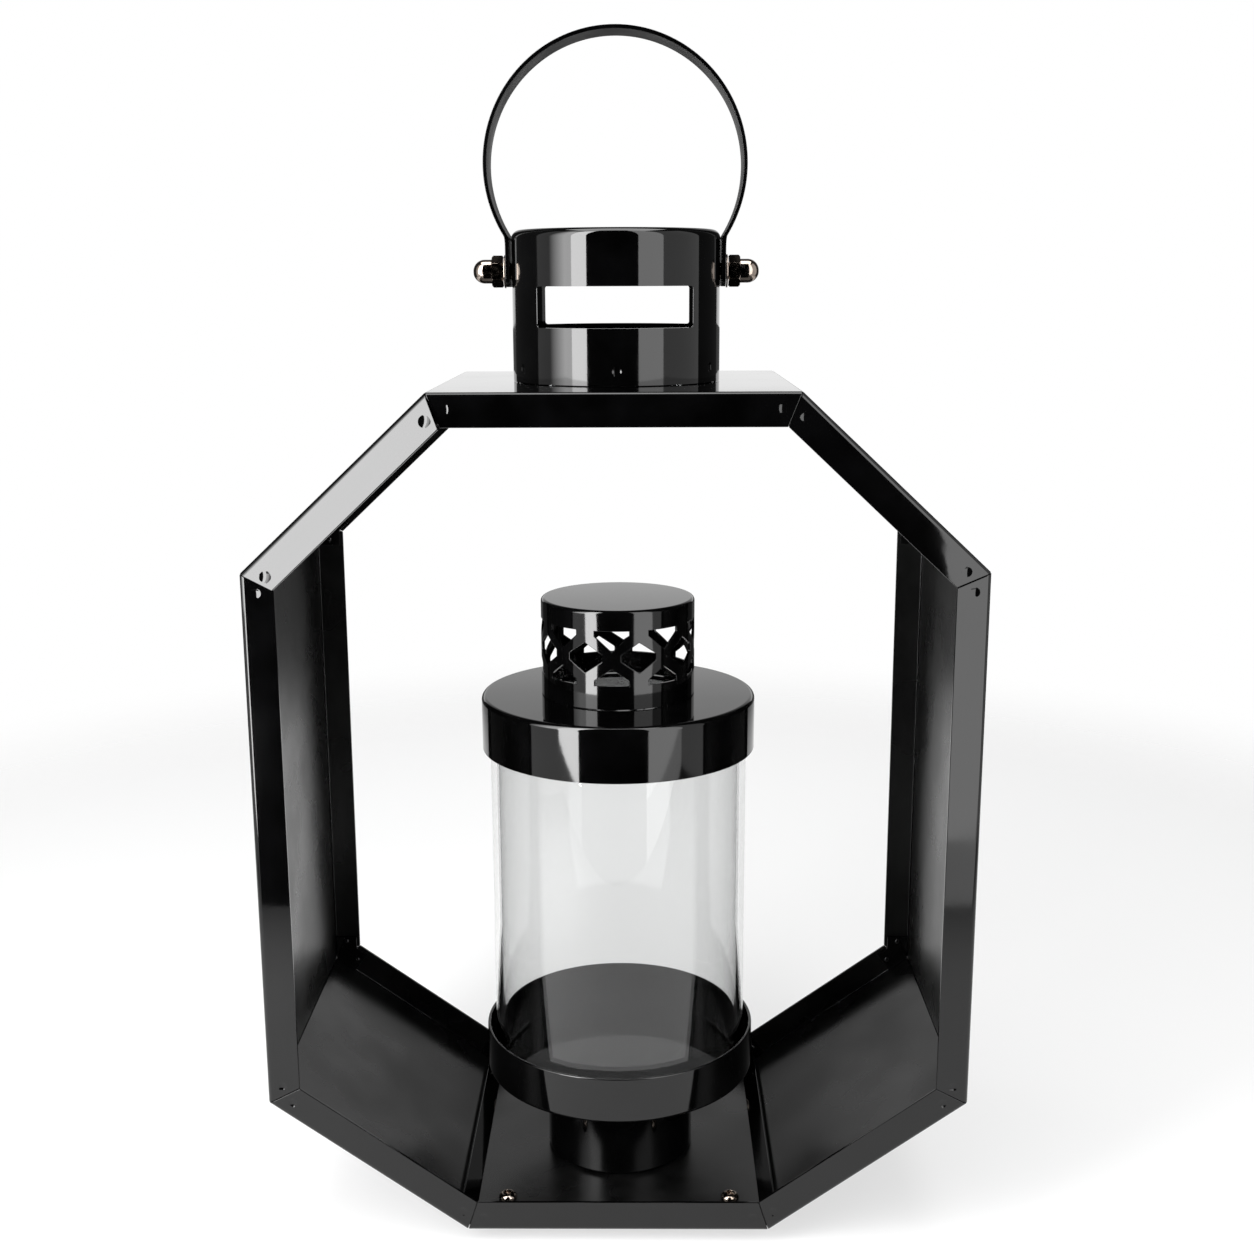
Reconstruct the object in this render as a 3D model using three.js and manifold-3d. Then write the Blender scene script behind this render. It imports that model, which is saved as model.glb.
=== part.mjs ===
// Candle lantern: an eight-sided sheet-steel frame with a glass cylinder on a pedestal inside it, a
// pierced lid on the glass, and a windowed collar on top that carries a round swinging handle.
// Millimetres, +Z up, +X to the right, front at -Y. The origin is on the standing surface, in the middle.

import * as THREE from 'three';
import { mergeVertices } from 'three/addons/utils/BufferGeometryUtils.js';
import Module from 'manifold-3d';

const wasm = await Module();
wasm.setup();

// ---------------------------------------------------------------- driving dimensions

const GAP = 0.3; // clearance between two pieces that touch
const SHEET = 1.2; // steel sheet of the frame, the collar, the cup and the lid
const TURN = 36; // facets round a large turned piece
const SMALL_TURN = 12; // facets round a fastener

const FOOT = { height: 5, topRadius: 5.5, baseRadius: 6.5, chamfer: 0.6, x: 43, y: 45 };
const BASE = FOOT.height; // underside of the frame

const FRAME = {
  width: 258,
  depth: 130,
  height: 312.5,
  topWidth: 127,
  bottomWidth: 113,
  lowShoulder: 52,
  highShoulder: 251,
  flange: 11.8,
  bend: 1.8,
  mitreGap: GAP / 2,
};
const TAB = { width: 7.5, thickness: 1, steeper: 9, root: 0.6 }; // the bottom panel's upturned edges
const CORNER_PLATE = { reach: 10, thickness: 1, outerEdge: 1.6, innerEdge: 1.2 };
const WELD_SPOT = { radius: 1.5, topRadius: 1.05, height: 0.5, facets: 8 };

const COLLAR = { radius: 38.3, height: 54.2, corner: 3 };
const COLLAR_WINDOW = { width: 55.4, height: 14.4, base: 19.8 };
const SEAT = { legHeight: 8, innerRadius: 28, rivetCircle: 32 };
const QUARTERS = [45, 135, 225, 315]; // angles of the collar's rivets and of the chimney's tabs
const VENT_RADIUS = 26; // hole in the top panel under the collar
const RIVET = { headRadius: 2.8, headHeight: 1.1, shankRadius: 1.5, holeRadius: 1.8 };

const PIVOT_HEIGHT = BASE + 352.3;
const HANDLE = { outerRadius: 47.5, thickness: 1.4, width: 18, inside: 38.7, drop: 5.6, endRadius: 4 };
const HANDLE_CENTRE = BASE + 389.6;
const PIVOT = { shankRadius: 2.9, holeRadius: 3.2, washerRadius: 6, washer: 0.6 };
const PIVOT_HEAD = { radius: 5.6, height: 3, chamfer: 1.2, slack: 0.25 };
const CAP_NUT = { flats: 10, hexLength: 4.3, domeRadius: 4.3, domeLength: 7, boreDepth: 8 };

const PEDESTAL = { radius: 29.4, lip: 8, corner: 0.8 };
const CUP = { radius: 53.5, floor: BASE + 37.6, rim: BASE + 55.8, corner: 1.6 };
const GLASS = { outerRadius: 50, wall: 2.8, base: CUP.floor + SHEET + GAP, length: 152 };
const LID = { radius: 53, depth: 20.9, corner: 1.8, holeRadius: 26.6 };
const INNER_CORNER = 0.6; // inside the cup, round its floor
const CHIMNEY = { radius: 29.6, wall: 1, height: 37.5, corner: 1.4, repeats: 9, phase: -23.6 };
const VENTS = { base: 9, top: 29.8, pentagonHalf: 6.5, sideHeight: 2, topDrop: 7.8, bottomRise: 6.5 };
const HEXAGON = { halfWidth: 6.7, sideHalf: 1.3, halfHeight: 5.8, centre: 19.5 };
const CHIMNEY_TAB = { width: 6, length: 4, slotSlack: 0.4 };

const BOLT = { shankRadius: 2.4, holeRadius: 2.8, headFlats: 8, headHeight: 2.3, tip: 0.5 };
const BOLT_WASHER = { radius: 7, thickness: 0.8 };
const WELD_NUT = { flats: 9, height: 4 };
const FOOT_SCREW = { shankRadius: 1.9, holeRadius: 2.2, tip: 1.4 };
const FOOT_SCREW_HEAD = { radius: 3.5, height: 2.1, rim: 0.5 };
const THROUGH = 5; // how far a punch reaches past the sheet that it goes through

// ---------------------------------------------------------------- materials

const finish = (color, roughness, metalness, extra = {}) =>
  new THREE.MeshStandardMaterial({ color, roughness, metalness, ...extra });
const ENAMEL = finish(0x0b0b0c, 0.12, 0.0);
const BLACK_NICKEL = finish(0x3a302a, 0.15, 1.0);
const ZINC = finish(0x9a9b9d, 0.35, 1.0);
const RUBBER = finish(0x161616, 0.8, 0.0);
const CLEAR_GLASS = finish(0xf4f6f6, 0.03, 0.0, { transparent: true, opacity: 0.25 });

// ---------------------------------------------------------------- shape helpers

const rad = THREE.MathUtils.degToRad;

// A geometry as a boolean solid: only positions, shared vertices merged, no zero-area triangles.
function solid(geometry) {
  const bare = geometry.clone();
  bare.deleteAttribute('normal');
  bare.deleteAttribute('uv');
  const merged = mergeVertices(bare, 1e-4);
  const corners = merged.index.array;
  const triangles = [];
  for (let i = 0; i < corners.length; i += 3) {
    const [a, b, c] = corners.slice(i, i + 3);
    if (a !== b && b !== c && c !== a) triangles.push(a, b, c);
  }
  return new wasm.Manifold(
    new wasm.Mesh({
      numProp: 3,
      vertProperties: new Float32Array(merged.attributes.position.array),
      triVerts: new Uint32Array(triangles),
    })
  );
}

function shapeOf(manifold) {
  const mesh = manifold.getMesh();
  const geometry = new THREE.BufferGeometry();
  geometry.setAttribute('position', new THREE.BufferAttribute(new Float32Array(mesh.vertProperties), 3));
  geometry.setIndex(new THREE.BufferAttribute(new Uint32Array(mesh.triVerts), 1));
  geometry.computeVertexNormals();
  return geometry;
}

const cut = (body, ...tools) =>
  shapeOf(tools.reduce((rest, tool) => rest.subtract(solid(tool)), solid(body)));
const join = (body, ...extras) =>
  shapeOf(extras.reduce((rest, extra) => rest.add(solid(extra)), solid(body)));

// Points of an arc in a profile, angles in degrees.
function arc(x, y, radius, from, to, steps) {
  return Array.from({ length: steps + 1 }, (_, i) => {
    const angle = rad(from + ((to - from) * i) / steps);
    return [x + radius * Math.cos(angle), y + radius * Math.sin(angle)];
  });
}

const outline = (points) => new THREE.Shape(points.map(([x, y]) => new THREE.Vector2(x, y)));

// A turned piece about Z. The profile is [radius, z] pairs, up the outside and down the inside.
const turned = (profile, facets = TURN) =>
  new THREE.LatheGeometry(profile.map(([r, z]) => new THREE.Vector2(r, z)), facets).rotateX(Math.PI / 2);

// A ring or tube: its profile closes on itself.
const turnedRing = (profile, facets = TURN) => turned([...profile, profile[0]], facets);

// An outline in X and Z, given thickness along Y between two depths.
const plateXZ = (points, yFrom, yTo) =>
  new THREE.ExtrudeGeometry(outline(points), { depth: yTo - yFrom, bevelEnabled: false, curveSegments: 6 })
    .rotateX(Math.PI / 2)
    .translate(0, yTo, 0);

// A round bar along Z between two heights, or along X between two stations.
const barZ = (radius, zFrom, zTo, facets = SMALL_TURN) =>
  new THREE.CylinderGeometry(radius, radius, zTo - zFrom, facets)
    .rotateX(Math.PI / 2)
    .translate(0, 0, (zFrom + zTo) / 2);
const barX = (radius, xFrom, xTo, facets = SMALL_TURN) =>
  new THREE.CylinderGeometry(radius, radius, xTo - xFrom, facets)
    .rotateZ(-Math.PI / 2)
    .translate((xFrom + xTo) / 2, 0, 0);

// A hexagonal bar's radius over its corners, from its width over the flats.
const overCorners = (flats) => flats / Math.sqrt(3);

const block = (x, y, z) => new THREE.BoxGeometry(x, y, z);

// ---------------------------------------------------------------- the assembly

const lantern = new THREE.Group();

function place(name, geometry, material, x = 0, y = 0, z = 0) {
  const mesh = new THREE.Mesh(geometry, material);
  mesh.name = name;
  mesh.position.set(x, y, z);
  lantern.add(mesh);
}

// ---------------------------------------------------------------- frame

// Outer corners of the frame in X and Z, anticlockwise from the bottom left as seen from the front.
const half = FRAME.width / 2;
const CORNERS = [
  ['bottom_left', -FRAME.bottomWidth / 2, 0],
  ['bottom_right', FRAME.bottomWidth / 2, 0],
  ['low_right', half, FRAME.lowShoulder],
  ['high_right', half, FRAME.highShoulder],
  ['top_right', FRAME.topWidth / 2, FRAME.height],
  ['top_left', -FRAME.topWidth / 2, FRAME.height],
  ['high_left', -half, FRAME.highShoulder],
  ['low_left', -half, FRAME.lowShoulder],
].map(([name, x, z]) => ({ name, point: new THREE.Vector2(x, z + BASE) }));

const PANEL_NAMES = [
  'bottom', 'lower_right', 'right', 'upper_right', 'top', 'upper_left', 'left', 'lower_left',
];

const corner = (i) => CORNERS[(i + CORNERS.length) % CORNERS.length].point;

// One side of the frame: where it starts, its direction, its inward normal, its length, and how far its
// ends step back for each millimetre inwards.
function side(i) {
  const start = corner(i);
  const along = corner(i + 1).clone().sub(start);
  const length = along.length();
  along.normalize();
  const inward = new THREE.Vector2(-along.y, along.x);
  const stepBack = (before, at, after) => {
    const a = before.clone().sub(at).normalize();
    const b = after.clone().sub(at).normalize();
    const halfAngle = Math.acos(THREE.MathUtils.clamp(a.dot(b), -1, 1)) / 2;
    return { slope: 1 / Math.tan(halfAngle), gap: FRAME.mitreGap / Math.sin(halfAngle) };
  };
  return {
    start,
    along,
    inward,
    length,
    startMitre: stepBack(corner(i - 1), start, corner(i + 1)),
    endMitre: stepBack(start, corner(i + 1), corner(i + 2)),
  };
}

// The panel's channel section in depth and inward distance: a web with a flange at the front and the back.
function channelSection() {
  const y = FRAME.depth / 2;
  const r = FRAME.bend;
  return outline([
    [-y, FRAME.flange],
    ...arc(-y + r, r, r, 180, 270, 3),
    ...arc(y - r, r, r, 270, 360, 3),
    [y, FRAME.flange],
    [y - SHEET, FRAME.flange],
    [y - SHEET, SHEET],
    [-y + SHEET, SHEET],
    [-y + SHEET, FRAME.flange],
  ]);
}

// A channel panel: the section run from one mitre to the next.
function channelPanel(i) {
  const { start, along, inward, length, startMitre, endMitre } = side(i);
  const geometry = new THREE.ExtrudeGeometry(channelSection(), { depth: 1, bevelEnabled: false });
  const position = geometry.attributes.position;
  for (let k = 0; k < position.count; k += 1) {
    const depth = position.getX(k);
    const inwards = position.getY(k);
    const first = inwards * startMitre.slope + startMitre.gap;
    const last = length - inwards * endMitre.slope - endMitre.gap;
    const run = position.getZ(k) < 0.5 ? first : last;
    const x = start.x + along.x * run + inward.x * inwards;
    const z = start.y + along.y * run + inward.y * inwards;
    position.setXYZ(k, x, depth, z);
  }
  return geometry;
}

// The bottom panel's side edges turn up and lap over the two lower panels.
function lapTab(direction) {
  const slope = Math.atan2(FRAME.lowShoulder, half - FRAME.bottomWidth / 2);
  const angle = slope + rad(TAB.steeper);
  const rise = [Math.cos(angle), Math.sin(angle)];
  const inset = (SHEET + GAP) / Math.sin(slope);
  const root = [FRAME.bottomWidth / 2 - inset + TAB.root / Math.tan(slope), BASE + TAB.root];
  const back = [-TAB.thickness / Math.sin(angle), 0];
  const point = (distance, shift) => [
    direction * (root[0] + rise[0] * distance + back[0] * shift),
    root[1] + rise[1] * distance,
  ];
  const points = [point(0, 0), point(TAB.width, 0), point(TAB.width, 1), point(0, 1)];
  const y = FRAME.depth / 2 - SHEET - 2 * GAP - CORNER_PLATE.thickness - WELD_SPOT.height;
  return plateXZ(direction > 0 ? points : points.reverse(), -y, y);
}

const footPlaces = [
  ['front_left', -1, -1],
  ['front_right', 1, -1],
  ['back_left', -1, 1],
  ['back_right', 1, 1],
];

// A round punch through a level sheet, and the same at the places of the collar's four rivets.
const punchDown = (radius, height, facets) => barZ(radius, height - THROUGH, height + THROUGH, facets);
const rivetPunches = (height) =>
  QUARTERS.map((angle) =>
    punchDown(RIVET.holeRadius, height).translate(SEAT.rivetCircle, 0, 0).rotateZ(rad(angle))
  );

function addPanels() {
  const frameTop = BASE + FRAME.height;
  const footScrewHoles = footPlaces.map(([, sx, sy]) =>
    punchDown(FOOT_SCREW.holeRadius, BASE).translate(sx * FOOT.x, sy * FOOT.y, 0)
  );
  const ventHole = punchDown(VENT_RADIUS, frameTop, TURN);
  const boltHole = punchDown(BOLT.holeRadius, BASE);
  PANEL_NAMES.forEach((name, i) => {
    let geometry = channelPanel(i);
    if (name === 'top') geometry = cut(geometry, ventHole, ...rivetPunches(frameTop));
    if (name === 'bottom') geometry = join(geometry, lapTab(-1), lapTab(1));
    if (name === 'bottom') geometry = cut(geometry, boltHole, ...footScrewHoles);
    place(`panel_${name}`, geometry, ENAMEL);
  });
}

// A cranked strip along the two sides that meet at a corner, between two distances inwards from them.
function cornerPlateOutline(i, outer, inner) {
  const before = side(i - 1);
  const after = side(i);
  const at = (inwards, run) => {
    const point = after.start
      .clone()
      .addScaledVector(after.along, inwards * after.startMitre.slope)
      .addScaledVector(after.inward, inwards)
      .addScaledVector(run > 0 ? after.along : before.along, run);
    return [point.x, point.y];
  };
  const reach = CORNER_PLATE.reach;
  const tip = reach - (inner - outer) * after.startMitre.slope;
  return [at(outer, -reach), at(outer, 0), at(outer, reach), at(inner, tip), at(inner, 0), at(inner, -tip)];
}

// A small plate behind each mitred flange joint, held by two weld spots.
function cornerPlate(i, face) {
  const outer = CORNER_PLATE.outerEdge;
  const inner = FRAME.flange - CORNER_PLATE.innerEdge;
  const near = FRAME.depth / 2 - SHEET - GAP;
  const far = near - CORNER_PLATE.thickness;
  const points = cornerPlateOutline(i, outer, inner);
  const plate = face > 0 ? plateXZ(points, far, near) : plateXZ(points, -near, -far);
  const spotLine = (outer + inner) / 2;
  const [, middle, , after, , before] = cornerPlateOutline(i, spotLine, spotLine + 0.1);
  const height = WELD_SPOT.height + CORNER_PLATE.thickness / 2;
  const depth = face * (far + CORNER_PLATE.thickness / 2 - height / 2);
  const spots = [before, after].map(([x, z]) =>
    new THREE.CylinderGeometry(WELD_SPOT.topRadius, WELD_SPOT.radius, height, WELD_SPOT.facets)
      .rotateX(face > 0 ? Math.PI : 0)
      .translate((x + middle[0]) / 2, depth, (z + middle[1]) / 2)
  );
  return join(plate, ...spots);
}

function addCornerPlates() {
  CORNERS.forEach(({ name }, i) => {
    place(`corner_plate_front_${name}`, cornerPlate(i, -1), ENAMEL);
    place(`corner_plate_back_${name}`, cornerPlate(i, 1), ENAMEL);
  });
}

// ---------------------------------------------------------------- feet

function addFeet() {
  const foot = turned(
    [
      [0, 0],
      [FOOT.baseRadius - FOOT.chamfer, 0],
      [FOOT.baseRadius, FOOT.chamfer],
      [FOOT.topRadius, FOOT.height - GAP],
      [FOOT_SCREW.holeRadius, FOOT.height - GAP],
      [FOOT_SCREW.holeRadius, FOOT_SCREW.tip - GAP],
      [0, FOOT_SCREW.tip - GAP],
    ],
    SMALL_TURN
  );
  const seat = BASE + SHEET + GAP;
  const rim = seat + FOOT_SCREW_HEAD.rim;
  const dome = arc(0, 0, 1, 0, 90, 4).map(([r, rise]) => [
    r * FOOT_SCREW_HEAD.radius,
    rim + rise * (FOOT_SCREW_HEAD.height - FOOT_SCREW_HEAD.rim),
  ]);
  const screw = turned(
    [
      [0, FOOT_SCREW.tip],
      [FOOT_SCREW.shankRadius, FOOT_SCREW.tip],
      [FOOT_SCREW.shankRadius, seat],
      [FOOT_SCREW_HEAD.radius, seat],
      ...dome.slice(0, -1),
      [0, seat + FOOT_SCREW_HEAD.height],
    ],
    SMALL_TURN
  );
  footPlaces.forEach(([name, sx, sy]) => {
    place(`foot_${name}`, foot.clone(), RUBBER, sx * FOOT.x, sy * FOOT.y);
    place(`foot_screw_${name}`, screw.clone(), BLACK_NICKEL, sx * FOOT.x, sy * FOOT.y);
  });
}

// ---------------------------------------------------------------- collar

// A drawn cap: a closed top with a rounded shoulder and a plain wall.
function drawnCap(radius, wall, base, top, shoulder) {
  const inside = Math.max(shoulder - wall, 0.3);
  return [
    [radius - wall, base],
    [radius, base],
    ...arc(radius - shoulder, top - shoulder, shoulder, 0, 90, 3),
    [0, top],
    [0, top - wall],
    ...arc(radius - wall - inside, top - wall - inside, inside, 90, 0, 2),
    [radius - wall, base],
  ];
}

function addCollar() {
  const base = BASE + FRAME.height + GAP;
  const cap = turned(drawnCap(COLLAR.radius, SHEET, base, base + COLLAR.height, COLLAR.corner));
  const windowMiddle = base + COLLAR_WINDOW.base + COLLAR_WINDOW.height / 2;
  const windows = block(COLLAR_WINDOW.width, 3 * COLLAR.radius, COLLAR_WINDOW.height);
  windows.translate(0, 0, windowMiddle);
  const reach = COLLAR.radius + THROUGH;
  const pivotHoles = barX(PIVOT.holeRadius, -reach, reach).translate(0, 0, PIVOT_HEIGHT);
  place('collar', cut(cap, windows, pivotHoles), ENAMEL);

  const outer = COLLAR.radius - SHEET - GAP;
  const ring = turnedRing([
    [SEAT.innerRadius, base],
    [outer, base],
    [outer, base + SEAT.legHeight],
    [outer - SHEET, base + SEAT.legHeight],
    [outer - SHEET, base + SHEET],
    [SEAT.innerRadius, base + SHEET],
  ]);
  place('collar_seat_ring', cut(ring, ...rivetPunches(base)), ENAMEL);

  const under = base - GAP - SHEET - GAP;
  const over = base + SHEET + GAP;
  const rivet = turned(
    [
      [0, under - RIVET.headHeight],
      [RIVET.headRadius * 0.7, under - RIVET.headHeight],
      [RIVET.headRadius, under],
      [RIVET.shankRadius, under],
      [RIVET.shankRadius, over],
      [RIVET.headRadius, over],
      [RIVET.headRadius * 0.7, over + RIVET.headHeight],
      [0, over + RIVET.headHeight],
    ],
    SMALL_TURN
  );
  QUARTERS.forEach((angle, i) => {
    const x = SEAT.rivetCircle * Math.cos(rad(angle));
    const y = SEAT.rivetCircle * Math.sin(rad(angle));
    place(`collar_rivet_${i + 1}`, rivet.clone(), ZINC, x, y);
  });
}

// ---------------------------------------------------------------- handle and its pivots

function handleStrap() {
  const outer = HANDLE.outerRadius;
  const inner = outer - HANDLE.thickness;
  const legIn = HANDLE.inside;
  const legOut = legIn + HANDLE.thickness;
  const foot = PIVOT_HEIGHT - HANDLE.drop;
  const angle = (radius, x) => THREE.MathUtils.radToDeg(Math.asin(Math.sqrt(1 - (x / radius) ** 2)));
  const outerStart = angle(outer, legOut);
  const innerStart = angle(inner, legIn);
  const steps = 28;
  const strap = plateXZ(
    [
      [legIn, foot],
      [legOut, foot],
      ...arc(0, HANDLE_CENTRE, outer, -outerStart, 180 + outerStart, steps),
      [-legOut, foot],
      [-legIn, foot],
      ...arc(0, HANDLE_CENTRE, inner, 180 + innerStart, -innerStart, steps),
    ],
    -HANDLE.width / 2,
    HANDLE.width / 2
  );
  const w = HANDLE.width / 2;
  const r = HANDLE.endRadius;
  const top = HANDLE_CENTRE + outer + THROUGH;
  const reach = outer + THROUGH;
  const face = outline([
    [-w, top],
    ...arc(-w + r, foot + r, r, 180, 270, 4),
    ...arc(w - r, foot + r, r, 270, 360, 4),
    [w, top],
  ]);
  const mask = new THREE.ExtrudeGeometry(face, { depth: 2 * reach, bevelEnabled: false })
    .rotateX(Math.PI / 2)
    .rotateZ(Math.PI / 2)
    .translate(-reach, 0, 0);
  const holes = barX(PIVOT.holeRadius, -reach, reach).translate(0, 0, PIVOT_HEIGHT);
  return shapeOf(solid(strap).intersect(solid(mask)).subtract(solid(holes)));
}

// The cap nut along X, its open end at 0 and its dome pointing to +X. A corner of its hexagon is on top.
function capNut() {
  const hex = barX(overCorners(CAP_NUT.flats), 0, CAP_NUT.hexLength, 6);
  const straight = CAP_NUT.hexLength + CAP_NUT.domeLength - CAP_NUT.domeRadius;
  const dome = turned(
    [
      [0, 1],
      [CAP_NUT.domeRadius, 1],
      ...arc(0, straight, CAP_NUT.domeRadius, 0, 90, 4).slice(0, -1),
      [0, straight + CAP_NUT.domeRadius],
    ],
    SMALL_TURN
  ).rotateY(Math.PI / 2);
  const bore = barX(PIVOT.holeRadius, -1, CAP_NUT.boreDepth);
  return shapeOf(solid(hex).add(solid(dome)).subtract(solid(bore)));
}

// The pivot screw along X: its head is inside the collar and its tip inside the cap nut.
function pivotScrew(nutFace) {
  const seat = COLLAR.radius - SHEET - GAP - PIVOT_HEAD.slack;
  const head = seat - PIVOT_HEAD.height;
  return turned(
    [
      [0, head],
      [PIVOT_HEAD.radius - PIVOT_HEAD.chamfer, head],
      [PIVOT_HEAD.radius, head + PIVOT_HEAD.chamfer],
      [PIVOT_HEAD.radius, seat],
      [PIVOT.shankRadius, seat],
      [PIVOT.shankRadius, nutFace + CAP_NUT.boreDepth - 1],
      [0, nutFace + CAP_NUT.boreDepth - 1],
    ],
    SMALL_TURN
  ).rotateY(Math.PI / 2);
}

function addHandle() {
  place('handle_strap', handleStrap(), ENAMEL);
  const washerFace = HANDLE.inside + HANDLE.thickness + GAP;
  const nutFace = washerFace + PIVOT.washer + GAP;
  const washer = turnedRing(
    [
      [PIVOT.holeRadius, washerFace],
      [PIVOT.washerRadius, washerFace],
      [PIVOT.washerRadius, washerFace + PIVOT.washer],
      [PIVOT.holeRadius, washerFace + PIVOT.washer],
    ],
    SMALL_TURN
  ).rotateY(Math.PI / 2);
  const nut = capNut().translate(nutFace, 0, 0);
  const screw = pivotScrew(nutFace);
  [
    ['left', Math.PI],
    ['right', 0],
  ].forEach(([name, turn]) => {
    place(`pivot_screw_${name}`, screw.clone().rotateZ(turn), BLACK_NICKEL, 0, 0, PIVOT_HEIGHT);
    place(`pivot_washer_${name}`, washer.clone().rotateZ(turn), BLACK_NICKEL, 0, 0, PIVOT_HEIGHT);
    place(`cap_nut_${name}`, nut.clone().rotateZ(turn), BLACK_NICKEL, 0, 0, PIVOT_HEIGHT);
  });
}

// ---------------------------------------------------------------- pedestal and cup

function addPedestal() {
  const base = BASE + SHEET + GAP;
  const top = CUP.floor - GAP;
  const outer = PEDESTAL.radius;
  const lip = outer - PEDESTAL.lip;
  const chamfer = PEDESTAL.corner;
  place(
    'pedestal',
    turnedRing([
      [lip, base],
      [outer - chamfer, base],
      [outer, base + chamfer],
      [outer, top - chamfer],
      [outer - chamfer, top],
      [lip, top],
      [lip, top - SHEET],
      [outer - SHEET, top - SHEET],
      [outer - SHEET, base + SHEET],
      [lip, base + SHEET],
    ]),
    ENAMEL
  );

  const r = CUP.corner;
  const inside = INNER_CORNER;
  place(
    'cup',
    turned([
      [0, CUP.floor],
      ...arc(CUP.radius - r, CUP.floor + r, r, 270, 360, 3),
      ...arc(CUP.radius - SHEET / 2, CUP.rim - SHEET / 2, SHEET / 2, 0, 180, 2),
      ...arc(CUP.radius - SHEET - inside, CUP.floor + SHEET + inside, inside, 360, 270, 2),
      [0, CUP.floor + SHEET],
    ]),
    ENAMEL
  );

  const nutBase = CUP.floor - GAP - WELD_NUT.height;
  const nut = barZ(overCorners(WELD_NUT.flats), nutBase, nutBase + WELD_NUT.height, 6);
  place('weld_nut', cut(nut, barZ(BOLT.holeRadius, nutBase - 1, CUP.floor)), ZINC);

  const washerTop = BASE - GAP;
  const headTop = washerTop - BOLT_WASHER.thickness - GAP;
  const washer = turnedRing(
    [
      [BOLT.holeRadius, washerTop - BOLT_WASHER.thickness],
      [BOLT_WASHER.radius, washerTop - BOLT_WASHER.thickness],
      [BOLT_WASHER.radius, washerTop],
      [BOLT.holeRadius, washerTop],
    ],
    SMALL_TURN
  );
  place('bolt_washer', washer, ZINC);
  const head = barZ(overCorners(BOLT.headFlats), headTop - BOLT.headHeight, headTop, 6);
  const shank = barZ(BOLT.shankRadius, headTop - 1, CUP.floor - GAP - BOLT.tip);
  place('pedestal_bolt', join(head, shank), ZINC);
}

// ---------------------------------------------------------------- glass, lid and chimney

function addGlass() {
  const inner = GLASS.outerRadius - GLASS.wall;
  const middle = (inner + GLASS.outerRadius) / 2;
  const r = GLASS.wall / 2;
  const top = GLASS.base + GLASS.length;
  place(
    'glass_cylinder',
    turnedRing([...arc(middle, GLASS.base + r, r, 180, 360, 2), ...arc(middle, top - r, r, 0, 180, 2)]),
    CLEAR_GLASS
  );
}

// A punched opening in the chimney wall: an outline across and up, pushed through at an angle round Z.
const punch = (points, angle) =>
  plateXZ(points, -CHIMNEY.radius - THROUGH, -CHIMNEY.radius + THROUGH).rotateZ(rad(angle));

function chimneyPunches(base) {
  const step = 360 / CHIMNEY.repeats;
  const h = HEXAGON;
  const v = VENTS;
  const middle = base + h.centre;
  const hexagon = [
    [h.halfWidth, middle - h.sideHalf],
    [h.halfWidth, middle + h.sideHalf],
    [0, middle + h.halfHeight],
    [-h.halfWidth, middle + h.sideHalf],
    [-h.halfWidth, middle - h.sideHalf],
    [0, middle - h.halfHeight],
  ];
  const upper = [
    [v.pentagonHalf, base + v.top],
    [-v.pentagonHalf, base + v.top],
    [-v.pentagonHalf, base + v.top - v.sideHeight],
    [0, base + v.top - v.topDrop],
    [v.pentagonHalf, base + v.top - v.sideHeight],
  ];
  const lower = [
    [-v.pentagonHalf, base + v.base],
    [v.pentagonHalf, base + v.base],
    [v.pentagonHalf, base + v.base + v.sideHeight],
    [0, base + v.base + v.bottomRise],
    [-v.pentagonHalf, base + v.base + v.sideHeight],
  ];
  return Array.from({ length: CHIMNEY.repeats }, (_, i) => {
    const angle = CHIMNEY.phase + i * step;
    return [punch(hexagon, angle), punch(upper, angle + step / 2), punch(lower, angle + step / 2)];
  }).flat();
}

// A tab on the chimney's foot that passes through a slot in the lid and is bent outwards under it.
function chimneyTab(angle, base, slack) {
  const middle = CHIMNEY.radius - CHIMNEY.wall / 2;
  const under = base - GAP - SHEET - GAP;
  const height = base - under + 2 * CHIMNEY.wall;
  const upright = block(CHIMNEY.wall + 2 * slack, CHIMNEY_TAB.width + 2 * slack, height).translate(
    middle,
    0,
    under - CHIMNEY.wall + height / 2
  );
  const toe = block(CHIMNEY_TAB.length, CHIMNEY_TAB.width, CHIMNEY.wall).translate(
    middle - CHIMNEY.wall / 2 + CHIMNEY_TAB.length / 2,
    0,
    under - CHIMNEY.wall / 2
  );
  return [upright, toe].map((piece) => piece.rotateZ(rad(angle)));
}

function addLid() {
  const top = GLASS.base + GLASS.length + GAP + SHEET;
  const skirt = top - LID.depth;
  const chimneyBase = top + GAP;
  const cap = turned(drawnCap(LID.radius, SHEET, skirt, top, LID.corner));
  const slots = QUARTERS.map((angle) => chimneyTab(angle, chimneyBase, CHIMNEY_TAB.slotSlack)[0]);
  place('lid', cut(cap, punchDown(LID.holeRadius, top, TURN), ...slots), ENAMEL);

  const chimneyTop = chimneyBase + CHIMNEY.height;
  const shell = turned(drawnCap(CHIMNEY.radius, CHIMNEY.wall, chimneyBase, chimneyTop, CHIMNEY.corner));
  const pierced = cut(shell, ...chimneyPunches(chimneyBase));
  const tabs = QUARTERS.flatMap((angle) => chimneyTab(angle, chimneyBase, 0));
  place('chimney', join(pierced, ...tabs), ENAMEL);
}

addPanels();
addCornerPlates();
addFeet();
addCollar();
addHandle();
addPedestal();
addGlass();
addLid();

export default lantern;
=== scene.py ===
import math

import bpy
from mathutils import Matrix, Vector


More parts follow.
